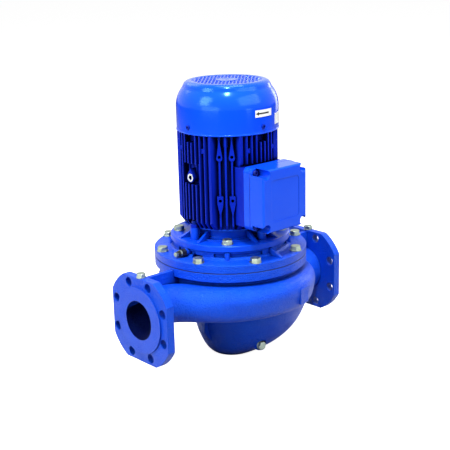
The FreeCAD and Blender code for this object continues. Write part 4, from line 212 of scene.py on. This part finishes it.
# Enamel over pressure-cast aluminium: smoother than the iron, its blue drawn deeper than the same enamel
# elsewhere as painted shade over the finned frame, and near black deep between the fins, also painted shade
FRAME_BLUE = enamel("enamel_on_cast_aluminium", ("#061C9C", "#0A26B6"), grain=1.4, grain_height=0.06,
                    swell=34, swell_height=0.2, gloss=(0.28, 0.38), edge=0.8, shine=0.16,
                    corner_reach=40, hollow_reach=60, colour_in_shade=0.0)
# The same paint on the open faces of the drive-end shield, drawn lighter than on the frame as painted light
SHIELD_BLUE = enamel("enamel_on_shield_painted_lighter", ("#0236C4", "#0646DA"), grain=1.4,
                     grain_height=0.06, swell=34, swell_height=0.2, gloss=(0.26, 0.36), edge=0.8,
                     shine=0.4, corner_reach=5, hollow_reach=40, colour_in_shade=0.4)
# Stove enamel on pressed sheet: glossy and nearly smooth, with the orange peel of spraying
SHEET_BLUE = enamel("stove_enamel_on_sheet", ("#0542E4", "#0A4CEE"), grain=4.0, grain_height=0.02,
                    swell=60, swell_height=0.1, gloss=(0.14, 0.2), edge=1.0, shine=0.45,
                    corner_reach=5, hollow_reach=60, colour_in_shade=0.1)
# Enamel run over screw heads: thick and soft, drawn darker than on the faces around them as painted shade
# for their dark sockets
SCREW_BLUE = enamel("enamel_over_screws", ("#081C84", "#0C28A4"), grain=1.2, grain_height=0.05,
                    swell=8, swell_height=0.1, gloss=(0.24, 0.34), edge=0.5, shine=0.3,
                    corner_reach=3, hollow_reach=40, colour_in_shade=0.1)


# Bare metals

def cloudy_metal(name, shades, cloud, grain, grain_height, gloss, metallic, edge):
    """Bare or plated metal: clouds in its colour and gloss, a fine grain and soft edges."""
    material, tree, place = new_material(name)
    clouds = add(tree, "ShaderNodeTexNoise", {"Scale": every(cloud), "Detail": 3.0},
                 {"Vector": place}).outputs["Fac"]
    fine = add(tree, "ShaderNodeTexNoise", {"Scale": every(grain), "Detail": 3.0},
               {"Vector": place}).outputs["Fac"]
    shade = add(tree, "ShaderNodeMix", {MIX_FIRST: linear(shades[0]), MIX_SECOND: linear(shades[1])},
                {MIX_SHARE: clouds}, data_type="RGBA").outputs[MIX_RESULT]
    dull = add(tree, "ShaderNodeMapRange",
               {"From Min": NOISE_LOW, "From Max": NOISE_HIGH, "To Min": gloss[0], "To Max": gloss[1]},
               {"Value": clouds}).outputs["Result"]
    rounding = add(tree, "ShaderNodeBevel", {"Radius": edge * MM}, samples=6).outputs["Normal"]
    grit = add(tree, "ShaderNodeBump", {"Distance": grain_height * MM},
               {"Height": fine, "Normal": rounding}).outputs["Normal"]
    shader = add(tree, "ShaderNodeBsdfPrincipled", {"Metallic": metallic},
                 {"Base Color": shade, "Roughness": dull, "Normal": grit})
    add(tree, "ShaderNodeOutputMaterial", links={"Surface": shader.outputs["BSDF"]})
    return material


# Zinc on steel fasteners: pale, a little green, cloudy where the bath dried
ZINC = cloudy_metal("zinc_plated_steel", ("#76857C", "#B4C0B0"), cloud=6, grain=0.9, grain_height=0.03,
                    gloss=(0.28, 0.46), metallic=1.0, edge=0.6)
# Blackened steel screws of the lid: dull and dark, their blue a painted reflection of the enamel around them
BLACK_STEEL = cloudy_metal("blackened_steel", ("#1A2A78", "#2C3E98"), cloud=4, grain=0.8,
                           grain_height=0.02, gloss=(0.35, 0.5), metallic=0.8, edge=0.4)
# Cast iron without paint: dark grey and grainy, as it comes from the sand
IRON = cloudy_metal("bare_cast_iron", ("#45464A", "#67686C"), cloud=12, grain=1.6, grain_height=0.2,
                    gloss=(0.5, 0.75), metallic=0.8, edge=1.0)
# Pressure-cast aluminium of the rotor's end rings: pale and slightly frosted
ALUMINIUM = cloudy_metal("pressure_cast_aluminium", ("#A4A6A8", "#C8CACC"), cloud=9, grain=1.8,
                         grain_height=0.05, gloss=(0.35, 0.5), metallic=1.0, edge=0.6)
# Aluminium cut bare for an eye bolt: bright, with the marks of the cutter lost in its shine
MACHINED = cloudy_metal("spot_faced_aluminium", ("#C9CFC9", "#EDF0EA"), cloud=5, grain=0.7,
                        grain_height=0.02, gloss=(0.28, 0.4), metallic=0.9, edge=0.3)
# Turned bronze of the wear ring: warm brown, bright from the tool
BRONZE = cloudy_metal("turned_bronze", ("#8C5F36", "#B98852"), cloud=7, grain=1.0, grain_height=0.03,
                      gloss=(0.22, 0.38), metallic=1.0, edge=0.4)
# Turned brass of the terminal studs: yellow and bright
BRASS = cloudy_metal("turned_brass", ("#A8873F", "#D0B062"), cloud=6, grain=1.0, grain_height=0.03,
                     gloss=(0.2, 0.34), metallic=1.0, edge=0.3)


def ground_steel():
    """Ground shaft steel: bright, with fine rings of the wheel about the shaft."""
    material, tree, place = new_material("ground_steel")
    level = add(tree, "ShaderNodeMapping", {"Scale": (0.0, 0.0, 1.0)}, {"Vector": place}).outputs["Vector"]
    rings = add(tree, "ShaderNodeTexNoise", {"Scale": every(0.6), "Detail": 2.0},
                {"Vector": level}).outputs["Fac"]
    shade = add(tree, "ShaderNodeMix", {MIX_FIRST: linear("#A0A2A6"), MIX_SECOND: linear("#CDCFD2")},
                {MIX_SHARE: rings}, data_type="RGBA").outputs[MIX_RESULT]
    dull = add(tree, "ShaderNodeMapRange", {"To Min": 0.14, "To Max": 0.32},
               {"Value": rings}).outputs["Result"]
    marks = add(tree, "ShaderNodeBump", {"Distance": 0.012 * MM}, {"Height": rings}).outputs["Normal"]
    shader = add(tree, "ShaderNodeBsdfPrincipled", {"Metallic": 1.0},
                 {"Base Color": shade, "Roughness": dull, "Normal": marks})
    add(tree, "ShaderNodeOutputMaterial", links={"Surface": shader.outputs["BSDF"]})
    return material


def stacked_laminations():
    """Electrical sheet in a stack: the level lines of its sheets, drawn 6.3 mm apart to show."""
    material, tree, place = new_material("stacked_laminations")
    lines = add(tree, "ShaderNodeTexWave", {"Scale": radian(1.0)}, {"Vector": place},
                wave_type="BANDS", bands_direction="Z").outputs["Fac"]
    stain = add(tree, "ShaderNodeTexNoise", {"Scale": every(12), "Detail": 3.0},
                {"Vector": place}).outputs["Fac"]
    shade = add(tree, "ShaderNodeMix", {MIX_FIRST: linear("#46464C"), MIX_SECOND: linear("#6E6E74")},
                {MIX_SHARE: stain}, data_type="RGBA").outputs[MIX_RESULT]
    dull = add(tree, "ShaderNodeMapRange", {"To Min": 0.4, "To Max": 0.6},
               {"Value": stain}).outputs["Result"]
    edges = add(tree, "ShaderNodeBump", {"Distance": 0.12 * MM}, {"Height": lines}).outputs["Normal"]
    shader = add(tree, "ShaderNodeBsdfPrincipled", {"Metallic": 1.0},
                 {"Base Color": shade, "Roughness": dull, "Normal": edges})
    add(tree, "ShaderNodeOutputMaterial", links={"Surface": shader.outputs["BSDF"]})
    return material


def wound_copper():
    """Varnished wire wound round the core: its strands, drawn 7.5 mm apart to show."""
    material, tree, place = new_material("varnished_copper_wire")
    strands = add(tree, "ShaderNodeTexWave", {"Scale": radian(1.2), "Distortion": 3.0, "Detail": 1.0},
                  {"Vector": place}, wave_type="BANDS", bands_direction="Z").outputs["Fac"]
    shade = add(tree, "ShaderNodeMix", {MIX_FIRST: linear("#7A3A1B"), MIX_SECOND: linear("#B8662E")},
                {MIX_SHARE: strands}, data_type="RGBA").outputs[MIX_RESULT]
    dull = add(tree, "ShaderNodeMapRange", {"To Min": 0.25, "To Max": 0.4},
               {"Value": strands}).outputs["Result"]
    wires = add(tree, "ShaderNodeBump", {"Distance": 0.4 * MM}, {"Height": strands}).outputs["Normal"]
    shader = add(tree, "ShaderNodeBsdfPrincipled", {"Metallic": 0.9},
                 {"Base Color": shade, "Roughness": dull, "Normal": wires})
    add(tree, "ShaderNodeOutputMaterial", links={"Surface": shader.outputs["BSDF"]})
    return material


GROUND = ground_steel()
SHEETS = stacked_laminations()
COPPER = wound_copper()


# Rubber, plastic, fibre, ceramic, foil and ink

def moulded(name, shades, grain, grain_height, gloss):
    """Moulded, pressed or printed surface with the fine skin that its making leaves."""
    material, tree, place = new_material(name)
    skin = add(tree, "ShaderNodeTexNoise", {"Scale": every(grain), "Detail": 3.0},
               {"Vector": place}).outputs["Fac"]
    shade = add(tree, "ShaderNodeMix", {MIX_FIRST: linear(shades[0]), MIX_SECOND: linear(shades[1])},
                {MIX_SHARE: skin}, data_type="RGBA").outputs[MIX_RESULT]
    dull = add(tree, "ShaderNodeMapRange",
               {"From Min": NOISE_LOW, "From Max": NOISE_HIGH, "To Min": gloss[0], "To Max": gloss[1]},
               {"Value": skin}).outputs["Result"]
    grit = add(tree, "ShaderNodeBump", {"Distance": grain_height * MM}, {"Height": skin}).outputs["Normal"]
    shader = add(tree, "ShaderNodeBsdfPrincipled", {"IOR": 1.5},
                 {"Base Color": shade, "Roughness": dull, "Normal": grit})
    add(tree, "ShaderNodeOutputMaterial", links={"Surface": shader.outputs["BSDF"]})
    return material


# Moulded rubber: black, dull and faintly mottled
RUBBER = moulded("moulded_rubber", ("#0F0F10", "#202022"), grain=1.5, grain_height=0.05, gloss=(0.55, 0.75))
# Pressed fibre of the flat gaskets: nearly black, fuzzy at its edge
FIBRE = moulded("pressed_fibre", ("#0B0F12", "#171E24"), grain=1.0, grain_height=0.08, gloss=(0.7, 0.85))
# Lapped ceramic of the seal faces: dark and mirror flat
CERAMIC = moulded("lapped_ceramic", ("#17181A", "#28292C"), grain=0.8, grain_height=0.005, gloss=(0.12, 0.2))
# Glass-filled plastic of the fan, the terminal block and the bleed valve: black with a mild shine
PLASTIC = moulded("moulded_black_plastic", ("#0B0B0D", "#18181B"), grain=1.2, grain_height=0.03,
                  gloss=(0.3, 0.46))
# White foil of the two plates: smooth, faintly uneven from the glue under it
FOIL = moulded("printed_white_foil", ("#EBEBE4", "#FBFBF8"), grain=9, grain_height=0.04, gloss=(0.28, 0.38))
# Black ink of the turning arrow: a little thin where the screen pressed it
INK = moulded("screen_printed_ink", ("#08080A", "#1C1C20"), grain=0.8, grain_height=0.01, gloss=(0.35, 0.5))


# Finishes of the solids

FINISH_OF_SLOT = {
    "cast_paint": CAST_BLUE,
    "frame_paint": FRAME_BLUE,
    "cover_paint": SHEET_BLUE,
    "screw_paint": SCREW_BLUE,
    "zinc_steel": ZINC,
    "black_steel": BLACK_STEEL,
    "shaft_steel": GROUND,
    "lamination_steel": SHEETS,
    "cast_iron": IRON,
    "bronze": BRONZE,
    "brass": BRASS,
    "copper": COPPER,
    "cast_aluminium": ALUMINIUM,
    "black_rubber": RUBBER,
    "gasket_fibre": FIBRE,
    "seal_ceramic": CERAMIC,
    "black_plastic": PLASTIC,
    "white_plate": FOIL,
}
# The drive-end shield takes the lighter copy of the frame's enamel, a painted light
FINISH_OF_NODE = {"drive_end_shield": SHIELD_BLUE}


def finish(piece, material):
    """Give a piece one material."""
    piece.data.materials.clear()
    piece.data.materials.append(material)


def finish_solids():
    """Give every solid its own finish, or else that of the slot that its record names."""
    for row in frame["record"]["subparts"]:
        name = row["node"]
        finish(nodes[name], FINISH_OF_NODE.get(name, FINISH_OF_SLOT[row["material_slot"]]))


finish_solids()


# Modelling steps

# Faces that meet at less than this many degrees are shaded as one surface
SMOOTH_BELOW = 32


def begin(name):
    """Name the primitive just added and open it for editing."""
    piece = bpy.context.object
    piece.name = name
    bpy.ops.object.mode_set(mode="EDIT")
    return piece


def pick_faces(piece, wanted):
    """Select the faces whose middle and normal pass a test."""
    bpy.ops.mesh.select_mode(type="FACE")
    shape = bmesh.from_edit_mesh(piece.data)
    for face in shape.faces:
        face.select_set(wanted(face.calc_center_median(), face.normal))
    shape.select_flush_mode()
    bmesh.update_edit_mesh(piece.data)


def pick_edges(piece, wanted):
    """Select the edges whose two ends both pass a test."""
    bpy.ops.mesh.select_mode(type="EDGE")
    shape = bmesh.from_edit_mesh(piece.data)
    for edge in shape.edges:
        edge.select_set(all(wanted(corner.co) for corner in edge.verts))
    shape.select_flush_mode()
    bmesh.update_edit_mesh(piece.data)


def modify(piece, kind, **settings):
    """Add a modifier with its settings and apply it."""
    modifier = piece.modifiers.new(kind.lower(), kind)
    for name, value in settings.items():
        setattr(modifier, name, value)
    bpy.context.view_layer.objects.active = piece
    bpy.ops.object.modifier_apply(modifier=modifier.name)


def complete(piece, material, body="root"):
    """Close the editing, put the piece's place into its mesh and let it ride on its body."""
    bpy.ops.object.mode_set(mode="OBJECT")
    bpy.ops.object.select_all(action="DESELECT")
    piece.select_set(True)
    bpy.context.view_layer.objects.active = piece
    bpy.ops.object.transform_apply(location=True, rotation=True, scale=True)
    bpy.ops.object.shade_smooth_by_angle(angle=math.radians(SMOOTH_BELOW))
    piece.select_set(False)
    finish(piece, material)
    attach(piece, body)


# Fan cover with its fine lattice, in millimetres

COVER_LOW = 485
COVER_RADIUS = 105
COVER_SHOULDER = 535
COVER_TOP = 584
COVER_SHEET = 1.8
RIM_BEAD = 0.7
RIM_BEAD_TALL = 3
BEAD_CORNER_IN = 0.4
BEAD_CORNER_UP = 0.5
BEAD_SLOPE = 0.8
DOME_IN = 15
DOME_TALL = 37
DOME_BEND = 62
SHOULDER_IN = 28
SHOULDER_BEND = 13
TOP_EDGE = 1.2
TOP_EDGE_SOFT = 0.3
LATTICE_RADIUS = 72
LATTICE_LAP = 1
LATTICE_PITCH = 7.2
LATTICE_BAR = 1.9
LATTICE_TURN = 45
LATTICE_SUNK = 0.6
LATTICE_SHEET = 0.6
# Squares stay closed where their middle is nearer than this share of the pitch to rim or disc
CLOSED_SHARE = 0.4
HUB_DISC_RADIUS = 22
HUB_DISC_THICK = 0.6
HUB_DISC_RISE = 0.28
HUB_DISC_RIM = 1.0
DIMPLE_FROM_RIM = 16.5
DIMPLE_SLOPE = 1.5
DIMPLE_DEEP = 0.45


def arc_between(start, end, bend, steps):
    """Points of an arc that bulges outwards from start to end, the first left out."""
    start, end = Vector(start), Vector(end)
    run = end - start
    out = Vector((run.y, -run.x)).normalized()
    middle = (start + end) / 2 - out * math.sqrt(bend * bend - run.length_squared / 4)
    first, last = start - middle, end - middle
    swing = first.angle_signed(last)
    points = []
    for i in range(1, steps + 1):
        spoke = first.copy()
        spoke.rotate(Matrix.Rotation(-swing * i / steps, 2))
        points.append(middle + spoke)
    return points


def cover_profile():
    """Outside of the fan cover as pairs of radius and height, from its lower rim to the lattice."""
    bead = COVER_RADIUS + RIM_BEAD
    side_top = (COVER_RADIUS - DOME_IN, COVER_SHOULDER + DOME_TALL)
    shoulder_top = (COVER_RADIUS - SHOULDER_IN, COVER_TOP)
    bead_top = COVER_LOW + RIM_BEAD_TALL
    profile = [(bead - BEAD_CORNER_IN, COVER_LOW), (bead, COVER_LOW + BEAD_CORNER_UP),
               (bead, bead_top - BEAD_SLOPE), (COVER_RADIUS, bead_top), (COVER_RADIUS, COVER_SHOULDER)]
    profile += arc_between((COVER_RADIUS, COVER_SHOULDER), side_top, DOME_BEND, steps=10)
    profile += arc_between(side_top, shoulder_top, SHOULDER_BEND, steps=8)
    profile += [(LATTICE_RADIUS + TOP_EDGE, COVER_TOP),
                (LATTICE_RADIUS + TOP_EDGE_SOFT, COVER_TOP - TOP_EDGE_SOFT),
                (LATTICE_RADIUS, COVER_TOP - TOP_EDGE)]
    return profile


def cover_shell():
    """Skirt, dome and rim: one circle drawn up along the profile, then given its sheet."""
    profile = cover_profile()
    radius, height = profile[0]
    bpy.ops.mesh.primitive_circle_add(vertices=144, radius=radius * MM, location=(0, 0, height * MM))
    shell = begin("fan_cover_shell")
    for next_radius, next_height in profile[1:]:
        rise = (next_height - height) * MM
        bpy.ops.mesh.extrude_region_move(TRANSFORM_OT_translate={"value": (0, 0, rise)})
        share = next_radius / radius
        bpy.ops.transform.resize(value=(share, share, 1), center_override=(0, 0, next_height * MM))
        radius, height = next_radius, next_height
    bpy.ops.mesh.select_all(action="SELECT")
    bpy.ops.mesh.normals_make_consistent(inside=False)
    bpy.ops.object.mode_set(mode="OBJECT")
    modify(shell, "SOLIDIFY", thickness=COVER_SHEET * MM, offset=-1)
    return shell


def cover_lattice():
    """Perforated sheet inside the rim: squares of a turned grid, each inset and cut out."""
    rows = int(2 * (LATTICE_RADIUS + LATTICE_PITCH) / LATTICE_PITCH)
    top = COVER_TOP - LATTICE_SUNK
    bpy.ops.mesh.primitive_grid_add(x_subdivisions=rows, y_subdivisions=rows,
                                    size=rows * LATTICE_PITCH * MM, location=(0, 0, top * MM),
                                    rotation=(0, 0, math.radians(LATTICE_TURN)))
    lattice = begin("fan_cover_lattice")
    edge = (LATTICE_RADIUS + LATTICE_LAP) * MM
    field = (LATTICE_RADIUS - CLOSED_SHARE * LATTICE_PITCH) * MM
    hub = (HUB_DISC_RADIUS - CLOSED_SHARE * LATTICE_PITCH) * MM
    bpy.ops.mesh.select_all(action="DESELECT")
    pick_faces(lattice, lambda middle, normal: middle.length > edge)
    bpy.ops.mesh.delete(type="FACE")
    pick_faces(lattice, lambda middle, normal: hub < middle.length < field)
    bpy.ops.mesh.inset(thickness=LATTICE_BAR / 2 * MM, use_individual=True)
    bpy.ops.mesh.delete(type="FACE")
    bpy.ops.mesh.select_all(action="SELECT")
    bpy.ops.mesh.remove_doubles(threshold=0.01 * MM)
    bpy.ops.object.mode_set(mode="OBJECT")
    modify(lattice, "SOLIDIFY", thickness=LATTICE_SHEET * MM, offset=-1)
    return lattice


def cover_hub_disc():
    """Plain pressed disc in the middle of the lattice, with a shallow dimple."""
    top = COVER_TOP - LATTICE_SUNK
    bpy.ops.mesh.primitive_cylinder_add(vertices=64, radius=HUB_DISC_RADIUS * MM,
                                        depth=HUB_DISC_THICK * MM,
                                        location=(0, 0, (top + HUB_DISC_RISE) * MM))
    disc = begin("fan_cover_hub_disc")
    pick_faces(disc, lambda middle, normal: normal.z > 0.9)
    for width in (HUB_DISC_RIM, DIMPLE_FROM_RIM, DIMPLE_SLOPE):
        bpy.ops.mesh.inset(thickness=width * MM)
    bpy.ops.transform.translate(value=(0, 0, -DIMPLE_DEEP * MM))
    bpy.ops.object.mode_set(mode="OBJECT")
    return disc


def make_fan_cover():
    """Shell, lattice and disc in one piece, which takes the place of the plainer solid cover."""
    shell = cover_shell()
    pieces = [shell, cover_lattice(), cover_hub_disc()]
    bpy.ops.object.select_all(action="DESELECT")
    for piece in pieces:
        piece.select_set(True)
    bpy.context.view_layer.objects.active = shell
    bpy.ops.object.join()
    shell.name = "perforated_fan_cover"
    complete(shell, SHEET_BLUE)
    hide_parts("fan_cover")


# Turning arrow on its plate, in millimetres

ARROW_TAIL = 17
ARROW_NECK = -11
ARROW_POINT = -19
ARROW_HALF = 1.6
ARROW_HEAD_HALF = 3.9
ARROW_HEIGHT = 526
ARROW_FRONT = 107
ARROW_LIFT = 0.02
ARROW_THICK = 0.06
HEAD_STEPS = 4
POINT_SHARE = 0.01


def draw_arrow_head():
    """Draw the picked end of the strip out into a head that narrows in even steps to its point."""
    neck = (ARROW_NECK * MM, -ARROW_FRONT * MM, ARROW_HEIGHT * MM)
    stride = (ARROW_POINT - ARROW_NECK) / HEAD_STEPS * MM
    bpy.ops.mesh.extrude_region_move(TRANSFORM_OT_translate={"value": (0, 0, 0)})
    bpy.ops.transform.resize(value=(1, 1, ARROW_HEAD_HALF / ARROW_HALF), center_override=neck)
    wide = HEAD_STEPS
    for left in (3, 2, 1, POINT_SHARE):
        bpy.ops.mesh.extrude_region_move(TRANSFORM_OT_translate={"value": (stride, 0, 0)})
        bpy.ops.transform.resize(value=(1, 1, left / wide), center_override=neck)
        wide = left


def make_arrow():
    """Arrow for the turning direction: a strip with a head, laid on the round plate."""
    length = ARROW_TAIL - ARROW_NECK
    middle = (ARROW_TAIL + ARROW_NECK) / 2
    place = (middle * MM, -ARROW_FRONT * MM, ARROW_HEIGHT * MM)
    bpy.ops.mesh.primitive_grid_add(x_subdivisions=14, y_subdivisions=1, size=1, location=place,
                                    rotation=(math.radians(90), 0, 0))
    arrow = begin("turning_arrow")
    bpy.ops.transform.resize(value=(length * MM, 1, 2 * ARROW_HALF * MM), center_override=place)
    bpy.ops.mesh.select_all(action="DESELECT")
    pick_edges(arrow, lambda corner: corner.x < -0.49 * length * MM)
    draw_arrow_head()
    bpy.ops.mesh.select_all(action="SELECT")
    bpy.ops.mesh.remove_doubles(threshold=0.02 * MM)
    bpy.ops.object.mode_set(mode="OBJECT")
    modify(arrow, "SHRINKWRAP", target=nodes["arrow_plate"], wrap_method="NEAREST_SURFACEPOINT",
           wrap_mode="ABOVE_SURFACE", offset=ARROW_LIFT * MM)
    modify(arrow, "SOLIDIFY", thickness=ARROW_THICK * MM, offset=1)
    complete(arrow, INK)


# Small turned trim, in millimetres

ALONG_X = (0, math.radians(90), 0)
EYE_SPOT_OUT = 104.16
EYE_HEIGHT = 397
EYE_BORE = 4.7
EYE_SPOT_RADIUS = 8.2
EYE_SPOT_THICK = 0.3
EYE_SPOT_SOFT = 0.1
VENT_PLACE = (-128.5, -4, 246.5)
VENT_BODY = 6.05
VENT_BAND = 6.9
VENT_BAND_LONG = 3.2
VENT_BAND_AT = 11.6
VENT_BAND_SOFT = 0.3


def turned_ring(name, inner, outer, thick, soft, place):
    """Flat ring about the X direction: a circle drawn out to its width, thickened and bevelled."""
    middle = [part * MM for part in place]
    bpy.ops.mesh.primitive_circle_add(vertices=48, radius=inner * MM, location=middle, rotation=ALONG_X)
    piece = begin(name)
    bpy.ops.mesh.extrude_region_move(TRANSFORM_OT_translate={"value": (0, 0, 0)})
    share = outer / inner
    bpy.ops.transform.resize(value=(share, share, share), center_override=middle)
    bpy.ops.mesh.select_all(action="SELECT")
    bpy.ops.object.mode_set(mode="OBJECT")
    modify(piece, "SOLIDIFY", thickness=thick * MM, offset=0)
    modify(piece, "BEVEL", width=soft * MM, segments=2, limit_method="ANGLE")
    return piece


def make_eye_spots():
    """Bare ring cut round the thread of each lifting eye."""
    for side, name in ((-1, "eye_spot_discharge_side"), (1, "eye_spot_suction_side")):
        spot = turned_ring(name, EYE_BORE, EYE_SPOT_RADIUS, EYE_SPOT_THICK, EYE_SPOT_SOFT,
                           (side * EYE_SPOT_OUT, 0, EYE_HEIGHT))
        complete(spot, MACHINED)


def make_vent_band():
    """Plated ring crimped round the black body of the bleed valve."""
    seat, across, height = VENT_PLACE
    band = turned_ring("bleed_valve_band", VENT_BODY, VENT_BAND, VENT_BAND_LONG, VENT_BAND_SOFT,
                       (seat - VENT_BAND_AT, across, height))
    complete(band, ZINC)


make_fan_cover()
make_arrow()
make_eye_spots()
make_vent_band()


# Studio, in metres and watts

PUMP_MIDDLE = Vector((0, 0, 0.28))
FLOOR_SIZE = 30
FLOOR_GLOW = 0.92
# Grey of the floor as the pump's surroundings, so that little light comes up from it
FLOOR_GREY = "#707070"
# Even light of the room on the pump, as a share of the white that is seen behind it
ROOM_LIGHT = 0.07


def make_floor():
    """Pale floor with the pump's shadow: white where it is seen, paper where it is mirrored."""
    bpy.ops.mesh.primitive_plane_add(size=FLOOR_SIZE)
    floor = bpy.context.object
    floor.name = "studio_floor"
    material, tree, place = new_material("pale_floor")
    grain = add(tree, "ShaderNodeTexNoise", {"Scale": every(400), "Detail": 2.0},
                {"Vector": place}).outputs["Fac"]
    pale = add(tree, "ShaderNodeMix", {MIX_FIRST: linear("#F2F2F2"), MIX_SECOND: linear("#FAFAFA")},
               {MIX_SHARE: grain}, data_type="RGBA").outputs[MIX_RESULT]
    paper = add(tree, "ShaderNodeBsdfDiffuse", links={"Color": pale}).outputs["BSDF"]
    glow = add(tree, "ShaderNodeEmission",
               {"Color": (1, 1, 1, 1), "Strength": FLOOR_GLOW}).outputs["Emission"]
    bright = add(tree, "ShaderNodeAddShader", links={0: paper, 1: glow}).outputs["Shader"]
    dim = add(tree, "ShaderNodeBsdfDiffuse", {"Color": linear(FLOOR_GREY)}).outputs["BSDF"]
    rays = add(tree, "ShaderNodeLightPath").outputs
    mirrored = add(tree, "ShaderNodeMath", links={0: rays["Is Glossy Ray"], 1: rays["Is Transmission Ray"]},
                   operation="MAXIMUM").outputs["Value"]
    reflected = add(tree, "ShaderNodeMixShader", links={0: mirrored, 1: dim, 2: paper}).outputs["Shader"]
    mixed = add(tree, "ShaderNodeMixShader",
                links={0: rays["Is Camera Ray"], 1: reflected, 2: bright}).outputs["Shader"]
    add(tree, "ShaderNodeOutputMaterial", links={"Surface": mixed})
    finish(floor, material)


def make_world():
    """White where it is seen or mirrored, and a dim even grey as light on the pump."""
    world = bpy.data.worlds.new("studio")
    world.use_nodes = True
    tree = world.node_tree
    tree.nodes.clear()
    rays = add(tree, "ShaderNodeLightPath").outputs
    mirrored = add(tree, "ShaderNodeMath", links={0: rays["Is Glossy Ray"], 1: rays["Is Transmission Ray"]},
                   operation="MAXIMUM").outputs["Value"]
    seen = add(tree, "ShaderNodeMath", links={0: rays["Is Camera Ray"], 1: mirrored},
               operation="MAXIMUM").outputs["Value"]
    level = add(tree, "ShaderNodeMapRange", {"To Min": ROOM_LIGHT, "To Max": 1.0},
                {"Value": seen}).outputs["Result"]
    sky = add(tree, "ShaderNodeBackground", {"Color": (1, 1, 1, 1)},
              {"Strength": level}).outputs["Background"]
    add(tree, "ShaderNodeOutputWorld", links={"Surface": sky})
    bpy.context.scene.world = world


def make_lamp(name, azimuth, elevation, distance, wide, tall, power):
    """Rectangular lamp that stands in a direction from the pump, in degrees, and faces its middle."""
    lamp = bpy.data.lights.new(name, "AREA")
    lamp.shape = "RECTANGLE"
    lamp.size = wide
    lamp.size_y = tall
    lamp.energy = power
    item = bpy.data.objects.new(name, lamp)
    bpy.context.collection.objects.link(item)
    turn, rise = math.radians(azimuth), math.radians(elevation)
    away = Vector((math.cos(rise) * math.cos(turn), math.cos(rise) * math.sin(turn), math.sin(rise)))
    item.location = PUMP_MIDDLE + away * distance
    item.rotation_euler = (-away).to_track_quat("-Z", "Y").to_euler()


def make_camera():
    """Camera fitted to the photograph: where it stood, and its right, up and back directions."""
    camera = bpy.data.cameras.new("camera")
    camera.sensor_width = 36
    camera.lens = 81.6666
    camera.clip_end = 100
    item = bpy.data.objects.new("camera", camera)
    bpy.context.collection.objects.link(item)
    rightward = Vector((0.74307748, -0.66882182, -0.02265483))
    upward = Vector((0.19740217, 0.18672034, 0.96237617))
    backward = Vector((-0.63942806, -0.71959217, 0.27077456))
    stand = Vector((-1.38453208, -1.54278859, 0.86001592))
    turn = Matrix((rightward, upward, backward)).transposed()
    item.matrix_world = Matrix.Translation(stand) @ turn.to_4x4()
    bpy.context.scene.camera = item


bpy.context.scene.view_settings.view_transform = "Standard"
make_floor()
make_world()
make_camera()
make_lamp("side_lamp", azimuth=174, elevation=34, distance=2.4, wide=0.9, tall=1.1, power=38)
make_lamp("left_lamp", azimuth=-169, elevation=10, distance=2.6, wide=1.8, tall=0.7, power=19)
make_lamp("spot_lamp", azimuth=-131, elevation=64, distance=2.4, wide=0.16, tall=0.4, power=60)
make_lamp("front_lamp", azimuth=-76, elevation=34, distance=2.6, wide=2.2, tall=1.3, power=38)
make_lamp("streak_lamp", azimuth=-84, elevation=4, distance=2.6, wide=0.5, tall=0.16, power=2.5)
make_lamp("top_lamp", azimuth=-20, elevation=84, distance=2.4, wide=1.2, tall=1.2, power=34)
make_lamp("right_lamp", azimuth=12, elevation=8, distance=2.6, wide=0.6, tall=1.0, power=7)
make_lamp("back_lamp", azimuth=90, elevation=40, distance=2.8, wide=1.6, tall=1.2, power=10)
